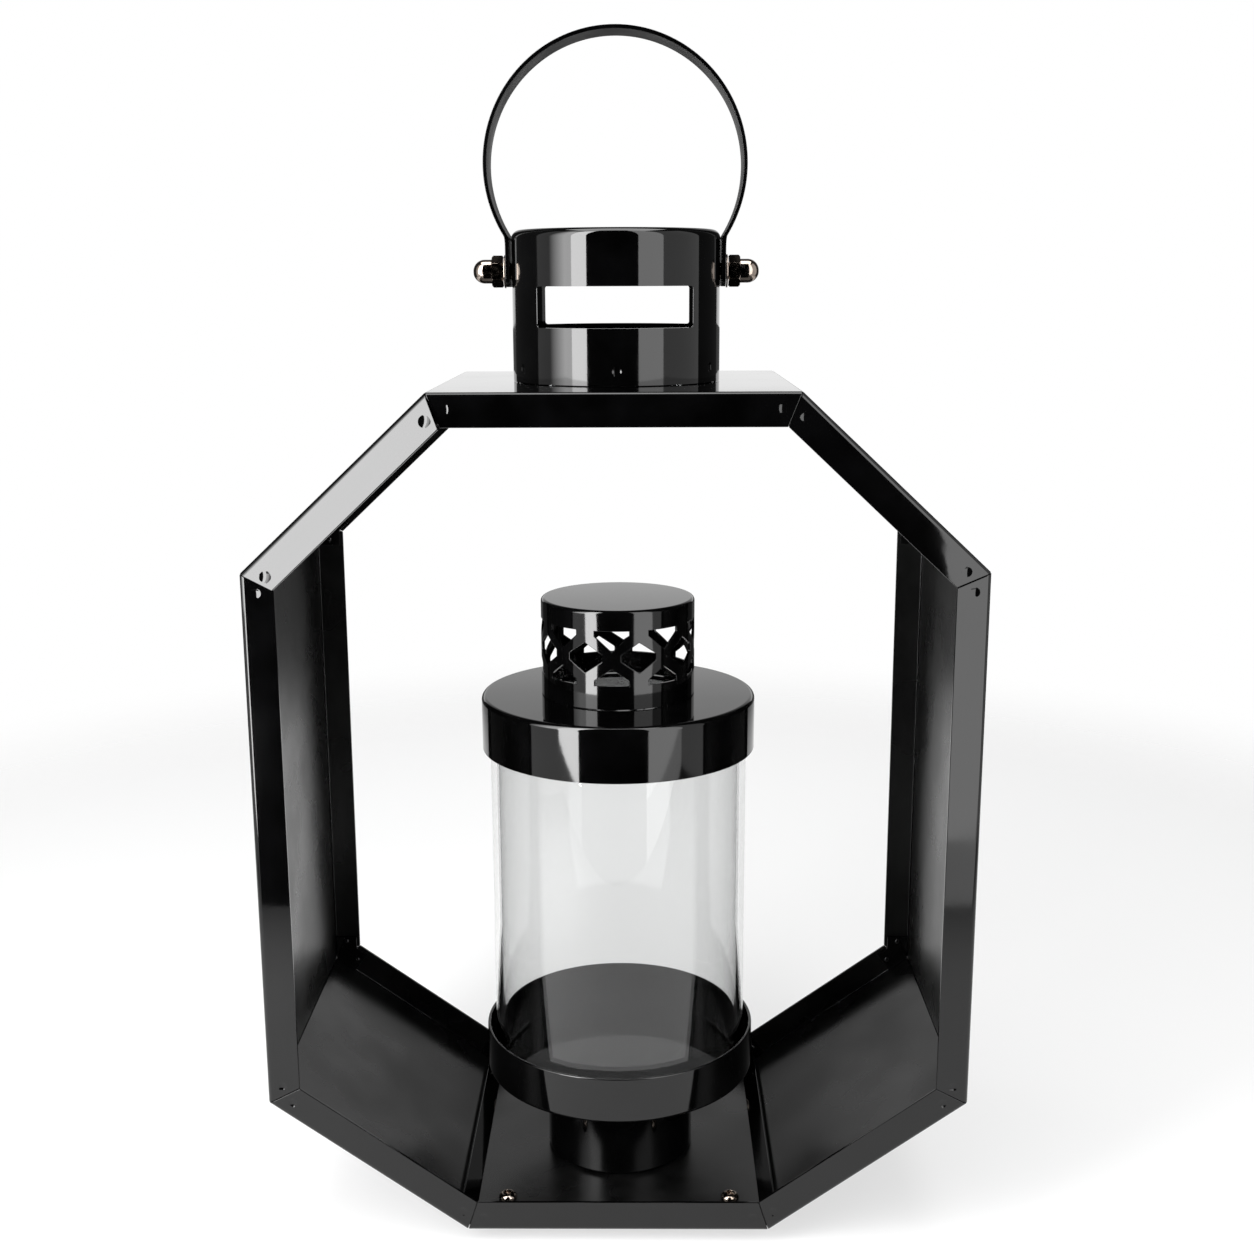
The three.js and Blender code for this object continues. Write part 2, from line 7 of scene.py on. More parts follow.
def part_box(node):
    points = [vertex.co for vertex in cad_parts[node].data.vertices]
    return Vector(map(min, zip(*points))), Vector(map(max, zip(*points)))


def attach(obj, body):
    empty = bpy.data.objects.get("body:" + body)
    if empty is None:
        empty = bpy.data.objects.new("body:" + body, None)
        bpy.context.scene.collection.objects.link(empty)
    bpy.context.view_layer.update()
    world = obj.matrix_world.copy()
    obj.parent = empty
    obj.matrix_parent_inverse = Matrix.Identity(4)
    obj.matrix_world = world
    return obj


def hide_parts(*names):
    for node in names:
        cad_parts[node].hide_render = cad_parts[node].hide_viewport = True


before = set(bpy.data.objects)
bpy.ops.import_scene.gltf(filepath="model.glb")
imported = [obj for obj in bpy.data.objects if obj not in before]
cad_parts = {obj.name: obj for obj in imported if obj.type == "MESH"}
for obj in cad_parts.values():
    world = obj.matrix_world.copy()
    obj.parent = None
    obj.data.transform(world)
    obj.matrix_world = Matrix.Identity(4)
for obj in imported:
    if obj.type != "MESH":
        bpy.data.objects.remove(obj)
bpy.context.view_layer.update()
bpy.ops.object.select_all(action="DESELECT")


# ---------------------------------------------------------------- studio
# A white sweep under and behind the lantern, a bright strip light and a tall diffuser at the left, a
# softer panel at the right, one softbox overhead, and an unlit gap in front where the camera stands.
# The panels are seen only in reflections.

MM = 0.001


def glow(name, strength):
    """A card that gives off even light."""
    material = bpy.data.materials.new(name)
    material.use_nodes = True
    tree = material.node_tree
    tree.nodes.clear()
    light = tree.nodes.new("ShaderNodeEmission")
    light.inputs["Color"].default_value = (1, 1, 1, 1)
    light.inputs["Strength"].default_value = strength
    out = tree.nodes.new("ShaderNodeOutputMaterial")
    tree.links.new(light.outputs["Emission"], out.inputs["Surface"])
    return material


def fading_glow(name, strong, weak, axis, start, end):
    """A card whose light falls from strong to weak along one of its axes, between two places in metres."""
    material = glow(name, strong)
    tree = material.node_tree
    light = tree.nodes["Emission"]
    where = tree.nodes.new("ShaderNodeTexCoord")
    split = tree.nodes.new("ShaderNodeSeparateXYZ")
    spread = tree.nodes.new("ShaderNodeMapRange")
    spread.inputs["From Min"].default_value = start
    spread.inputs["From Max"].default_value = end
    spread.inputs["To Min"].default_value = strong
    spread.inputs["To Max"].default_value = weak
    tree.links.new(where.outputs["Object"], split.inputs["Vector"])
    tree.links.new(split.outputs[axis], spread.inputs["Value"])
    tree.links.new(spread.outputs["Result"], light.inputs["Strength"])
    return material


def upright_card(name, from_xy, to_xy, bottom, top, material, lights_floor):
    """A vertical card over a line on the floor."""
    start, end = Vector((*from_xy, 0)), Vector((*to_xy, 0))
    middle = (start + end) / 2
    turn = math.atan2(end.y - start.y, end.x - start.x)
    bpy.ops.mesh.primitive_plane_add(
        size=1,
        location=(middle.x, middle.y, (bottom + top) / 2),
        rotation=(math.pi / 2, 0, turn),
    )
    return hang_card(name, ((end - start).length, top - bottom), material, lights_floor)


def hang_card(name, size, material, lights_floor):
    """The plane just added becomes a card of this size. Cameras don't see it."""
    card = bpy.context.object
    card.name = name
    card.scale = (*size, 1)
    bpy.ops.object.transform_apply(location=True, rotation=True, scale=True)
    card.data.materials.append(material)
    card.visible_camera = False
    card.visible_transmission = False
    card.visible_shadow = False
    card.visible_diffuse = lights_floor
    return card


STRIP_INNER, STRIP_OUTER, LEFT_END = (-0.228, -0.395), (-0.420, -0.392), (-0.640, 0.035)
RIGHT_INNER, RIGHT_OUTER, RIGHT_END = (0.176, -0.395), (0.500, -0.390), (0.640, 0.120)
GAP_LEFT, GAP_RIGHT = (-0.228, -0.396), (0.176, -0.396)
SWEEP_LEFT, SWEEP_RIGHT = (-0.62, 0.95), (0.62, 0.95)
CARD_TOP, GAP_TOP = 1.1, 1.6
CARD_FOOT, DIFFUSER_FOOT = 0.04, 0.16
SWEEP_FOOT, SHADE_TOP, SWEEP_BREAK = -0.02, 0.31, 0.45
SOFTBOX = {"size": (1.1, 0.9), "place": (0, -0.1, 1.5), "strength": 5.0}

# The diffuser dims away from the strip light, and the sweep dims upwards from the lantern's lid.
left_glow = fading_glow("left_glow", 8.0, 0.6, "Y", -0.32, -0.155)
sweep_glow = fading_glow("sweep_glow", 1.12, 0.75, "Z", 0.385, 0.445)
high_sweep_glow = fading_glow("high_sweep_glow", 0.72, 0.3, "Z", 0.46, 0.75)
for name, start, end, low, high, material, lights_floor in (
    ("strip_light", STRIP_INNER, STRIP_OUTER, CARD_FOOT, CARD_TOP, glow("strip_glow", 15.0), True),
    ("left_diffuser", STRIP_OUTER, LEFT_END, DIFFUSER_FOOT, CARD_TOP, left_glow, True),
    ("right_panel", RIGHT_INNER, RIGHT_OUTER, CARD_FOOT, CARD_TOP, glow("right_glow", 3.4), True),
    ("right_reflector", RIGHT_OUTER, RIGHT_END, 0.0, CARD_TOP, glow("reflector_glow", 0.8), True),
    ("strip_foot", STRIP_INNER, STRIP_OUTER, 0.0, CARD_FOOT, glow("strip_foot_glow", 0.9), False),
    ("diffuser_foot", STRIP_OUTER, LEFT_END, 0.0, DIFFUSER_FOOT, glow("diffuser_foot_glow", 0.9), False),
    ("panel_foot", RIGHT_INNER, RIGHT_OUTER, 0.0, CARD_FOOT, glow("panel_foot_glow", 1.9), False),
    ("unlit_gap", GAP_LEFT, GAP_RIGHT, 0.0, GAP_TOP, glow("unlit", 0.0), False),
    ("sweep_shade", SWEEP_LEFT, SWEEP_RIGHT, SWEEP_FOOT, SHADE_TOP, glow("shade_glow", 0.13), False),
    ("sweep_behind", SWEEP_LEFT, SWEEP_RIGHT, SHADE_TOP, SWEEP_BREAK, sweep_glow, True),
    ("sweep_above", SWEEP_LEFT, SWEEP_RIGHT, SWEEP_BREAK, CARD_TOP, high_sweep_glow, True),
):
    upright_card(name, start, end, low, high, material, lights_floor)

bpy.ops.mesh.primitive_plane_add(size=1, location=SOFTBOX["place"], rotation=(math.pi, 0, 0))
hang_card("overhead_softbox", SOFTBOX["size"], glow("overhead_glow", SOFTBOX["strength"]), True)

BACKDROP_RADIUS = 7.0
bpy.ops.mesh.primitive_uv_sphere_add(segments=64, ring_count=32, radius=BACKDROP_RADIUS)
backdrop = bpy.context.object
backdrop.name = "backdrop"
backdrop.data.materials.append(fading_glow("backdrop_glow", 1.0, 0.4, "Z", 1.7, 3.2))
backdrop.visible_diffuse = False
backdrop.visible_glossy = False
backdrop.visible_shadow = False

# The floor gives off most of its light itself, so that the lantern leaves only a faint shadow, and it
# thins out into the backdrop.
FLOOR = {"radius": 1.3, "centre": 0.16, "grey": 0.3, "glow": 0.62, "fades_from": 0.46, "gone_by": 0.74}
bpy.ops.mesh.primitive_circle_add(
    vertices=96, radius=FLOOR["radius"], location=(0, FLOOR["centre"], 0), fill_type="NGON"
)
floor = bpy.context.object
floor.name = "floor"
floor_paint = bpy.data.materials.new("white_sweep")
floor_paint.use_nodes = True
floor_tree = floor_paint.node_tree
floor_board = floor_tree.nodes["Principled BSDF"]
floor_board.inputs["Base Color"].default_value = (FLOOR["grey"], FLOOR["grey"], FLOOR["grey"], 1)
floor_board.inputs["Roughness"].default_value = 0.9
floor_board.inputs["Specular IOR Level"].default_value = 0.0
floor_board.inputs["Emission Color"].default_value = (1, 1, 1, 1)
floor_board.inputs["Emission Strength"].default_value = FLOOR["glow"]
floor_clear = floor_tree.nodes.new("ShaderNodeBsdfTransparent")
floor_mix = floor_tree.nodes.new("ShaderNodeMixShader")
floor_place = floor_tree.nodes.new("ShaderNodeTexCoord")
floor_reach = floor_tree.nodes.new("ShaderNodeVectorMath")
floor_reach.operation = "LENGTH"
floor_fade = floor_tree.nodes.new("ShaderNodeMapRange")
floor_fade.interpolation_type = "SMOOTHSTEP"
floor_fade.inputs["From Min"].default_value = FLOOR["fades_from"]
floor_fade.inputs["From Max"].default_value = FLOOR["gone_by"]
floor_tree.links.new(floor_place.outputs["Object"], floor_reach.inputs[0])
floor_tree.links.new(floor_reach.outputs["Value"], floor_fade.inputs["Value"])
floor_tree.links.new(floor_fade.outputs["Result"], floor_mix.inputs["Fac"])
floor_tree.links.new(floor_board.outputs["BSDF"], floor_mix.inputs[1])
floor_tree.links.new(floor_clear.outputs["BSDF"], floor_mix.inputs[2])
floor_tree.links.new(floor_mix.outputs["Shader"], floor_tree.nodes["Material Output"].inputs["Surface"])
floor.data.materials.append(floor_paint)

ROOM_LIGHT = 0.04
world = bpy.data.worlds.new("studio")
world.use_nodes = True
world.node_tree.nodes["Background"].inputs["Color"].default_value = (1, 1, 1, 1)
world.node_tree.nodes["Background"].inputs["Strength"].default_value = ROOM_LIGHT
bpy.context.scene.world = world
bpy.context.scene.view_settings.view_transform = "Standard"

# The camera stands 0.6 m in front, at the height of the handle's pivots, and looks down a little.
CAMERA_PLACE = Vector((9.44, -598.85, 353.70)) * MM
CAMERA_DOWN = math.radians(12.302)
CAMERA_YAW = math.radians(-0.562)
CAMERA_ROLL = math.radians(-0.214)
CAMERA_LENS = 45.53
camera_data = bpy.data.cameras.new("camera")
camera_data.lens = CAMERA_LENS
camera_data.sensor_width = 36.0
camera_data.clip_start = 0.01
camera_data.clip_end = 40.0
camera = bpy.data.objects.new("camera", camera_data)
bpy.context.scene.collection.objects.link(camera)
looking = Vector(
    (
        math.sin(CAMERA_YAW) * math.cos(CAMERA_DOWN),
        math.cos(CAMERA_YAW) * math.cos(CAMERA_DOWN),
        -math.sin(CAMERA_DOWN),
    )
)
level_right = Vector((math.cos(CAMERA_YAW), -math.sin(CAMERA_YAW), 0))
level_up = level_right.cross(looking)
camera_right = level_right * math.cos(CAMERA_ROLL) + level_up * math.sin(CAMERA_ROLL)
camera_up = level_up * math.cos(CAMERA_ROLL) - level_right * math.sin(CAMERA_ROLL)
turned = Matrix((camera_right, camera_up, -looking)).transposed().to_4x4()
camera.matrix_world = Matrix.Translation(CAMERA_PLACE) @ turned
bpy.context.scene.camera = camera


# ---------------------------------------------------------------- frame panels
# Eight channels folded from 1.2 mm steel sheet and mitred where they meet. Each mitre is spot-welded to
# a plate behind it, which leaves a shallow dimple in both flanges. The frame is enamelled gloss black.

SHEET = 1.2 * MM
FLANGE = 11.8 * MM
BEND_RADIUS = 1.8 * MM
MITRE_GAP = 0.15 * MM
EDGE_ROUND = 0.22 * MM
BOTTOM_HALF = 56.5 * MM
VENT_RADIUS = 26 * MM
DIMPLE = {"radius": 1.9 * MM, "ball": 5.2 * MM, "from_mitre": 4.2 * MM, "inwards": 5.6 * MM}
NEAR = 0.01 * MM


def pick(piece, kind, wanted):
    """Edit mode, with only the wanted corners, edges or faces selected, by their place."""
    bpy.ops.object.mode_set(mode="OBJECT")
    bpy.context.view_layer.objects.active = piece
    mesh = piece.data
    bpy.context.tool_settings.mesh_select_mode = (kind == "corners", kind == "edges", kind == "faces")
    for item in (*mesh.vertices, *mesh.edges, *mesh.polygons):
        item.select = False
    if kind == "corners":
        for corner in mesh.vertices:
            corner.select = wanted(corner.co)
    if kind == "edges":
        for edge in mesh.edges:
            edge.select = wanted(*(mesh.vertices[i].co for i in edge.vertices))
    if kind == "faces":
        for face in mesh.polygons:
            face.select = wanted(face.center, face.normal)
    bpy.ops.object.mode_set(mode="EDIT")


def pick_all(piece, kind="faces"):
    """Edit mode, with the whole piece selected."""
    pick(piece, kind, lambda *where: True)


def named(name):
    """The primitive just added gets its name, and its place goes into its mesh."""
    piece = bpy.context.object
    piece.name = name
    piece.data.name = name
    bpy.ops.object.transform_apply(location=True, rotation=True, scale=True)
    return piece


def object_mode():
    """Leaves edit mode, if a piece is in it."""
    if bpy.context.object and bpy.context.object.mode != "OBJECT":
        bpy.ops.object.mode_set(mode="OBJECT")


def flat_sheet(name, width, depth):
    """A flat sheet that lies round the origin, its width along X."""
    object_mode()
    bpy.ops.mesh.primitive_plane_add(size=1)
    bpy.context.object.scale = (width, depth, 1)
    return named(name)


def alter(piece, kind, **settings):
    """Puts a modifier on the piece and applies it."""
    bpy.ops.object.mode_set(mode="OBJECT")
    bpy.context.view_layer.objects.active = piece
    modifier = piece.modifiers.new(kind, kind)
    for setting, value in settings.items():
        setattr(modifier, setting, value)
    bpy.ops.object.modifier_apply(modifier=modifier.name)


def select(*pieces):
    """Object mode, with only these pieces selected and the first one active."""
    object_mode()
    bpy.ops.object.select_all(action="DESELECT")
    for piece in pieces:
        piece.select_set(True)
    bpy.context.view_layer.objects.active = pieces[0]


def join(*pieces):
    """The pieces become one object, the first."""
    select(*pieces)
    if len(pieces) > 1:
        bpy.ops.object.join()
    return pieces[0]


def put(piece, place=(0, 0, 0), turn=(0, 0, 0)):
    """Turns and moves the piece, and leaves its object at the origin."""
    select(piece)
    piece.rotation_euler = turn
    piece.location = place
    bpy.ops.object.transform_apply(location=True, rotation=True, scale=True)
    return piece


def cut(piece, *tools):
    """Takes the tools' shapes out of the piece, and clears the tools away."""
    tool = join(*tools)
    select(piece)
    alter(piece, "BOOLEAN", operation="DIFFERENCE", solver="EXACT", object=tool)
    bpy.data.objects.remove(tool)


def turn_faces(piece, leading, sign):
    """Makes an open sheet's faces agree, with the leading face turned up for 1 or down for -1."""
    pick_all(piece)
    bpy.ops.mesh.normals_make_consistent(inside=False)
    bpy.ops.object.mode_set(mode="OBJECT")
    if max(piece.data.polygons, key=leading).normal.z * sign < 0:
        pick_all(piece)
        bpy.ops.mesh.flip_normals()


def thicken(piece, thickness):
    """Gives a sheet its wall, on the side that its faces point away from."""
    alter(piece, "SOLIDIFY", thickness=thickness, offset=-1, use_even_offset=True)


def round_edges(piece, width, segments=2, over=40):
    """Rounds every edge sharper than an angle in degrees."""
    alter(
        piece,
        "BEVEL",
        width=width,
        segments=segments,
        limit_method="ANGLE",
        angle_limit=math.radians(over),
        use_clamp_overlap=True,
    )


def smooth(piece, angle=35):
    """Smooth shading, apart from edges sharper than an angle in degrees. Large faces stay flat."""
    select(piece)
    bpy.ops.object.shade_smooth_by_angle(angle=math.radians(angle))
    alter(piece, "WEIGHTED_NORMAL", mode="FACE_AREA", weight=100, keep_sharp=True)


def finish(piece, material, body, *nodes):
    """Shades the piece, gives it its material, and lets it ride on its body in place of its nodes."""
    smooth(piece)
    piece.data.materials.append(material)
    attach(piece, body)
    if nodes:
        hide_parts(*nodes)


def hole_tool(radius, place, turn=(0, 0, 0), length=30 * MM, vertices=96):
    """A round bar to cut a hole with."""
    object_mode()
    bpy.ops.mesh.primitive_cylinder_add(
        vertices=vertices, radius=radius, depth=length, location=place, rotation=turn
    )
    return named("hole_tool")


def dimple_tool(place, outward, radius=DIMPLE["radius"], ball=DIMPLE["ball"]):
    """A ball that leaves a shallow round dimple of a given radius in a surface."""
    object_mode()
    centre = Vector(place) + Vector(outward) * math.sqrt(ball**2 - radius**2)
    bpy.ops.mesh.primitive_uv_sphere_add(segments=48, ring_count=24, radius=ball, location=centre)
    return named("dimple_tool")


def paint_base(slot, base, roughness, others=()):
    """A new material, tagged with its finish slot, with its shader's even settings."""
    material = bpy.data.materials.new(f"{slot}_surface")
    material["slot"] = slot
    material.use_nodes = True
    shader = material.node_tree.nodes["Principled BSDF"]
    shader.inputs["Base Color"].default_value = (*base, 1)
    shader.inputs["Roughness"].default_value = roughness
    for socket, value in dict(others).items():
        shader.inputs[socket].default_value = value
    return material


def mottle(material, socket, low, high, scale, detail=3.0, contrast=(0.35, 0.65)):
    """Lets a noise vary a number or a grey of the shader between two values. Scale is in cells a metre."""
    tree = material.node_tree
    shader = tree.nodes["Principled BSDF"]
    place = tree.nodes.new("ShaderNodeTexCoord")
    noise = tree.nodes.new("ShaderNodeTexNoise")
    noise.inputs["Scale"].default_value = scale
    noise.inputs["Detail"].default_value = detail
    ramp = tree.nodes.new("ShaderNodeMapRange")
    ramp.inputs["From Min"].default_value = contrast[0]
    ramp.inputs["From Max"].default_value = contrast[1]
    tree.links.new(place.outputs["Object"], noise.inputs["Vector"])
    tree.links.new(noise.outputs["Fac"], ramp.inputs["Value"])
    if isinstance(low, tuple):
        blend = tree.nodes.new("ShaderNodeMix")
        blend.data_type = "RGBA"
        blend.inputs["A"].default_value = (*low, 1)
        blend.inputs["B"].default_value = (*high, 1)
        tree.links.new(ramp.outputs["Result"], blend.inputs["Factor"])
        tree.links.new(blend.outputs["Result"], shader.inputs[socket])
    else:
        ramp.inputs["To Min"].default_value = low
        ramp.inputs["To Max"].default_value = high
        tree.links.new(ramp.outputs["Result"], shader.inputs[socket])


def ripple(material, *waves):
    """Adds the surface's small relief: each wave is its cells a metre and its height in metres."""
    tree = material.node_tree
    shader = tree.nodes["Principled BSDF"]
    place = tree.nodes.new("ShaderNodeTexCoord")
    previous = None
    for scale, height in waves:
        noise = tree.nodes.new("ShaderNodeTexNoise")
        noise.inputs["Scale"].default_value = scale
        noise.inputs["Detail"].default_value = 1.0
        bump = tree.nodes.new("ShaderNodeBump")
        bump.inputs["Strength"].default_value = 1.0
        bump.inputs["Distance"].default_value = height
        tree.links.new(place.outputs["Object"], noise.inputs["Vector"])
        tree.links.new(noise.outputs["Fac"], bump.inputs["Height"])
        if previous:
            tree.links.new(previous.outputs["Normal"], bump.inputs["Normal"])
        previous = bump
    tree.links.new(previous.outputs["Normal"], shader.inputs["Normal"])


def thin_enamel(roughness, dullest, patch_scale, others):
    """The enamel where less spray reaches: a little greyer, and dull from roughness up to dullest."""
    material = paint_base("black_enamel", (0.003, 0.003, 0.003), roughness, others)
    mottle(material, "Base Color", (0.002, 0.002, 0.002), (0.0045, 0.0045, 0.0045), 120)
    mottle(material, "Roughness", roughness, dullest, patch_scale)
    ripple(material, (500, 0.003 * MM))
    return material


# Sprayed and baked: nearly black, glossy, with faint orange peel and a slow unevenness in the gloss.
enamel = paint_base("black_enamel", (0.0008, 0.0008, 0.0008), 0.05, {"IOR": 1.5})
mottle(enamel, "Base Color", (0.0004, 0.0004, 0.0004), (0.0012, 0.0012, 0.0013), 60)
mottle(enamel, "Roughness", 0.03, 0.085, 22)
ripple(enamel, (24, 0.025 * MM), (420, 0.0022 * MM))

# The insides of the channels get less spray, and dry to a duller skin.
dull_enamel = thin_enamel(0.24, 0.34, 30, {"IOR": 1.5})


def line_with(piece, material, wanted):
    """Gives a second material to the faces wanted, by their centre and normal."""
    piece.data.materials.append(material)
    for face in piece.data.polygons:
        if wanted(face.center, face.normal):
            face.material_index = len(piece.data.materials) - 1


PANEL_NAMES = ("bottom", "lower_right", "right", "upper_right", "top", "upper_left", "left", "lower_left")

# Degrees that a front flange leans out of square. The upper left one was folded short.
FLANGE_LEAN = {"upper_left": 16.0, "left": -0.6, "right": 0.5, "lower_left": 0.4, "lower_right": -0.5}

left_low, left_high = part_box("panel_left")
top_low, top_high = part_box("panel_top")
bottom_low, bottom_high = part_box("panel_bottom")
half_depth = left_high.y
side_x = -left_low.x
corners = [
    Vector((x, z))
    for x, z in (
        (-BOTTOM_HALF, bottom_low.z),
        (BOTTOM_HALF, bottom_low.z),
        (side_x, left_low.z),
        (side_x, left_high.z),
        (top_high.x, top_high.z),
        (-top_high.x, top_high.z),
        (-side_x, left_high.z),
        (-side_x, left_low.z),
    )
]


def mitre_slope(i):
    """How far a mitre runs along its panels for each metre inwards, at corner i."""
    here = corners[i % 8]
    before, after = corners[(i - 1) % 8] - here, corners[(i + 1) % 8] - here
    return 1 / math.tan(before.angle(after) / 2)


def side_of(i):
    """Length, middle and slant of the side that starts at corner i."""
    start, end = corners[i], corners[(i + 1) % 8]
    along = end - start
    return along.length, (start + end) / 2, math.atan2(along.y, along.x)


def trim_mitre(x, slope, outward):
    """Cuts what is selected along a mitre plane, and closes the cut."""
    bpy.ops.mesh.bisect(
        plane_co=(x, 0, 0),
        plane_no=(outward, 0, slope),
        use_fill=True,
        clear_outer=True,
    )


def folded_panel(i, name):
    """One channel, made flat on its back and then put in its place in the ring."""
    length, middle, slant = side_of(i)
    lean = math.tan(math.radians(FLANGE_LEAN.get(PANEL_NAMES[i], 0.0)))
    panel = flat_sheet(name, length + 2 * FLANGE, 2 * half_depth)
    pick(panel, "edges", lambda a, b: abs(abs(a.y) - half_depth) < NEAR and abs(a.y - b.y) < NEAR)
    bpy.ops.mesh.extrude_region_move(TRANSFORM_OT_translate={"value": (0, 0, FLANGE)})
    pick(panel, "corners", lambda co: co.z > FLANGE / 2 and co.y < 0)
    bpy.ops.transform.translate(value=(0, -FLANGE * lean, 0))
    pick(panel, "edges", lambda a, b: abs(a.y - b.y) < NEAR and a.z < NEAR and b.z < NEAR)
    bpy.ops.mesh.bevel(offset=BEND_RADIUS, segments=6, affect="EDGES")
    turn_faces(panel, lambda face: face.area, -1)
    thicken(panel, SHEET)
    pick_all(panel)
    trim_mitre(-length / 2 + MITRE_GAP, mitre_slope(i), -1)
    pick_all(panel)
    trim_mitre(length / 2 - MITRE_GAP, mitre_slope(i + 1), 1)
    round_edges(panel, EDGE_ROUND)
    dimples = []
    for end, slope in ((-1, mitre_slope(i)), (1, mitre_slope(i + 1))):
        x = end * (length / 2 - DIMPLE["inwards"] * slope - DIMPLE["from_mitre"])
        front = -half_depth - DIMPLE["inwards"] * lean
        dimples.append(dimple_tool((x, front, DIMPLE["inwards"]), (0, -1, 0)))
        dimples.append(dimple_tool((x, half_depth, DIMPLE["inwards"]), (0, 1, 0)))
    cut(panel, *dimples)
    put(panel, (middle.x, 0, middle.y), (0, -slant, 0))
    return panel


def inside_face(at, normal, inwards):
    """Whether a face is on the inside of the channel: on its web, or on a flange's inner side."""
    on_web = normal.dot(inwards) > 0.98 and abs(at.y) < half_depth / 2
    on_flange = abs(normal.y) > 0.9 and normal.y * at.y < 0
    return on_web or on_flange


for index, panel_name in enumerate(PANEL_NAMES):
    panel = folded_panel(index, f"{panel_name}_panel")
    if panel_name == "top":
        cut(panel, hole_tool(VENT_RADIUS, (0, 0, top_high.z)))
    finish(panel, enamel, "frame", f"panel_{panel_name}")
    _, _, slant = side_of(index)
    inwards = Vector((-math.sin(slant), 0, math.cos(slant)))
    line_with(panel, dull_enamel, lambda at, normal: inside_face(at, normal, inwards))


# ---------------------------------------------------------------- lap strips
# The bottom panel's two side edges are turned up and lie against the lower panels, a little steeper
# than they are, so that a dark gap shows behind each strip.

LAP = {
    "width": 7.5 * MM,
    "thickness": 1.0 * MM,
    "half_depth": 61.7 * MM,
    "root": 0.6 * MM,
    "round": 0.3 * MM,
    "steeper": math.radians(9),
}

_, _, lower_slant = side_of(PANEL_NAMES.index("lower_right"))
lap_inset = (SHEET + 2 * MITRE_GAP) / math.sin(lower_slant)
for side_name, half_turn in (("right", 0.0), ("left", math.pi)):
    strip = flat_sheet(f"lap_strip_{side_name}", LAP["width"], 2 * LAP["half_depth"])
    put(strip, (LAP["width"] / 2, 0, 0))
    alter(strip, "SOLIDIFY", thickness=LAP["thickness"], offset=1)
    round_edges(strip, LAP["round"])
    put(strip, turn=(0, -lower_slant - LAP["steeper"], 0))
    root_x = BOTTOM_HALF - lap_inset + LAP["root"] / math.tan(lower_slant)
    put(strip, (root_x, 0, bottom_low.z + LAP["root"]))
    put(strip, turn=(0, 0, half_turn))
    finish(strip, enamel, "frame")


# ---------------------------------------------------------------- corner plates
# A cranked plate of 1 mm steel behind every mitre, front and back, held to each flange by one spot
# weld, which stands up from it as a small bead.

PLATE = {
    "from_outside": 1.6 * MM,
    "width": 9.0 * MM,
    "reach": 10 * MM,
    "thickness": 1.0 * MM,
    "depth": 63.5 * MM,
    "round": 0.2 * MM,
}
BEAD = {"radius": 1.5 * MM, "flat": 0.66, "sunk": 0.25 * MM, "along": 5.5 * MM}
CORNER_NAMES = ("bottom_left", "bottom_right", "low_right", "high_right")
CORNER_NAMES += ("top_right", "top_left", "high_left", "low_left")


def add(piece, other):
    """Joins another closed shape into the piece, and clears it away."""
    select(piece)
    alter(piece, "BOOLEAN", operation="UNION", solver="EXACT", object=other)
    bpy.data.objects.remove(other)


def plate_arm(i, sign):
    """One arm of the plate at corner i: forward along its own side, or back along the side before."""
    _, _, slant = side_of(i if sign > 0 else (i - 1) % 8)
    arm = flat_sheet("plate_arm", PLATE["reach"], PLATE["width"])
    put(arm, (sign * PLATE["reach"] / 2, PLATE["width"] / 2, 0))
    pick(arm, "corners", lambda co: abs(co.x) < NEAR and co.y > NEAR)
    bpy.ops.transform.translate(value=(sign * PLATE["width"] * mitre_slope(i), 0, 0))
    put(arm, turn=(math.pi / 2, 0, 0))
    return put(arm, turn=(0, -slant, 0))


def bead_on(i, sign, facing):
    """The weld bead on one arm, a flattened ball that shows on the plate's inner side."""
    _, _, slant = side_of(i if sign > 0 else (i - 1) % 8)
    run = sign * (BEAD["along"] + PLATE["width"] / 2 * mitre_slope(i))
    object_mode()
    bpy.ops.mesh.primitive_uv_sphere_add(segments=24, ring_count=12, radius=BEAD["radius"])
    bpy.context.object.scale = (1, BEAD["flat"], 1)
    bead = put(named("bead"), (run, -facing * BEAD["sunk"], PLATE["width"] / 2))
    return put(bead, turn=(0, -slant, 0))


def corner_plate(i, name, facing):
    """The plate and its two beads, in its place."""
    _, _, slant = side_of(i)
    along = Vector((math.cos(slant), 0, math.sin(slant)))
    inwards = Vector((-math.sin(slant), 0, math.cos(slant)))
    heel = Vector((corners[i].x, facing * (PLATE["depth"] - PLATE["thickness"] / 2), corners[i].y))
    heel += (along * mitre_slope(i) + inwards) * PLATE["from_outside"]
    plate = join(plate_arm(i, 1), plate_arm(i, -1))
    plate.name = name
    plate.data.name = name
    pick_all(plate, "corners")
    bpy.ops.mesh.remove_doubles(threshold=NEAR)
    bpy.ops.mesh.normals_make_consistent(inside=False)
    alter(plate, "SOLIDIFY", thickness=PLATE["thickness"], offset=0)
    round_edges(plate, PLATE["round"])
    for sign in (1, -1):
        add(plate, bead_on(i, sign, facing))
    return put(plate, heel)


for index, corner_name in enumerate(CORNER_NAMES):
    for face_name, facing in (("front", -1), ("back", 1)):
        plate = corner_plate(index, f"{face_name}_plate_{corner_name}", facing)
        finish(plate, enamel, "frame", f"corner_plate_{face_name}_{corner_name}")


# ---------------------------------------------------------------- feet
# Four moulded rubber feet under the bottom panel, dished below, each held from above by a small
# dome-headed screw with a cross recess. The screws are plated black nickel like the handle's nuts.

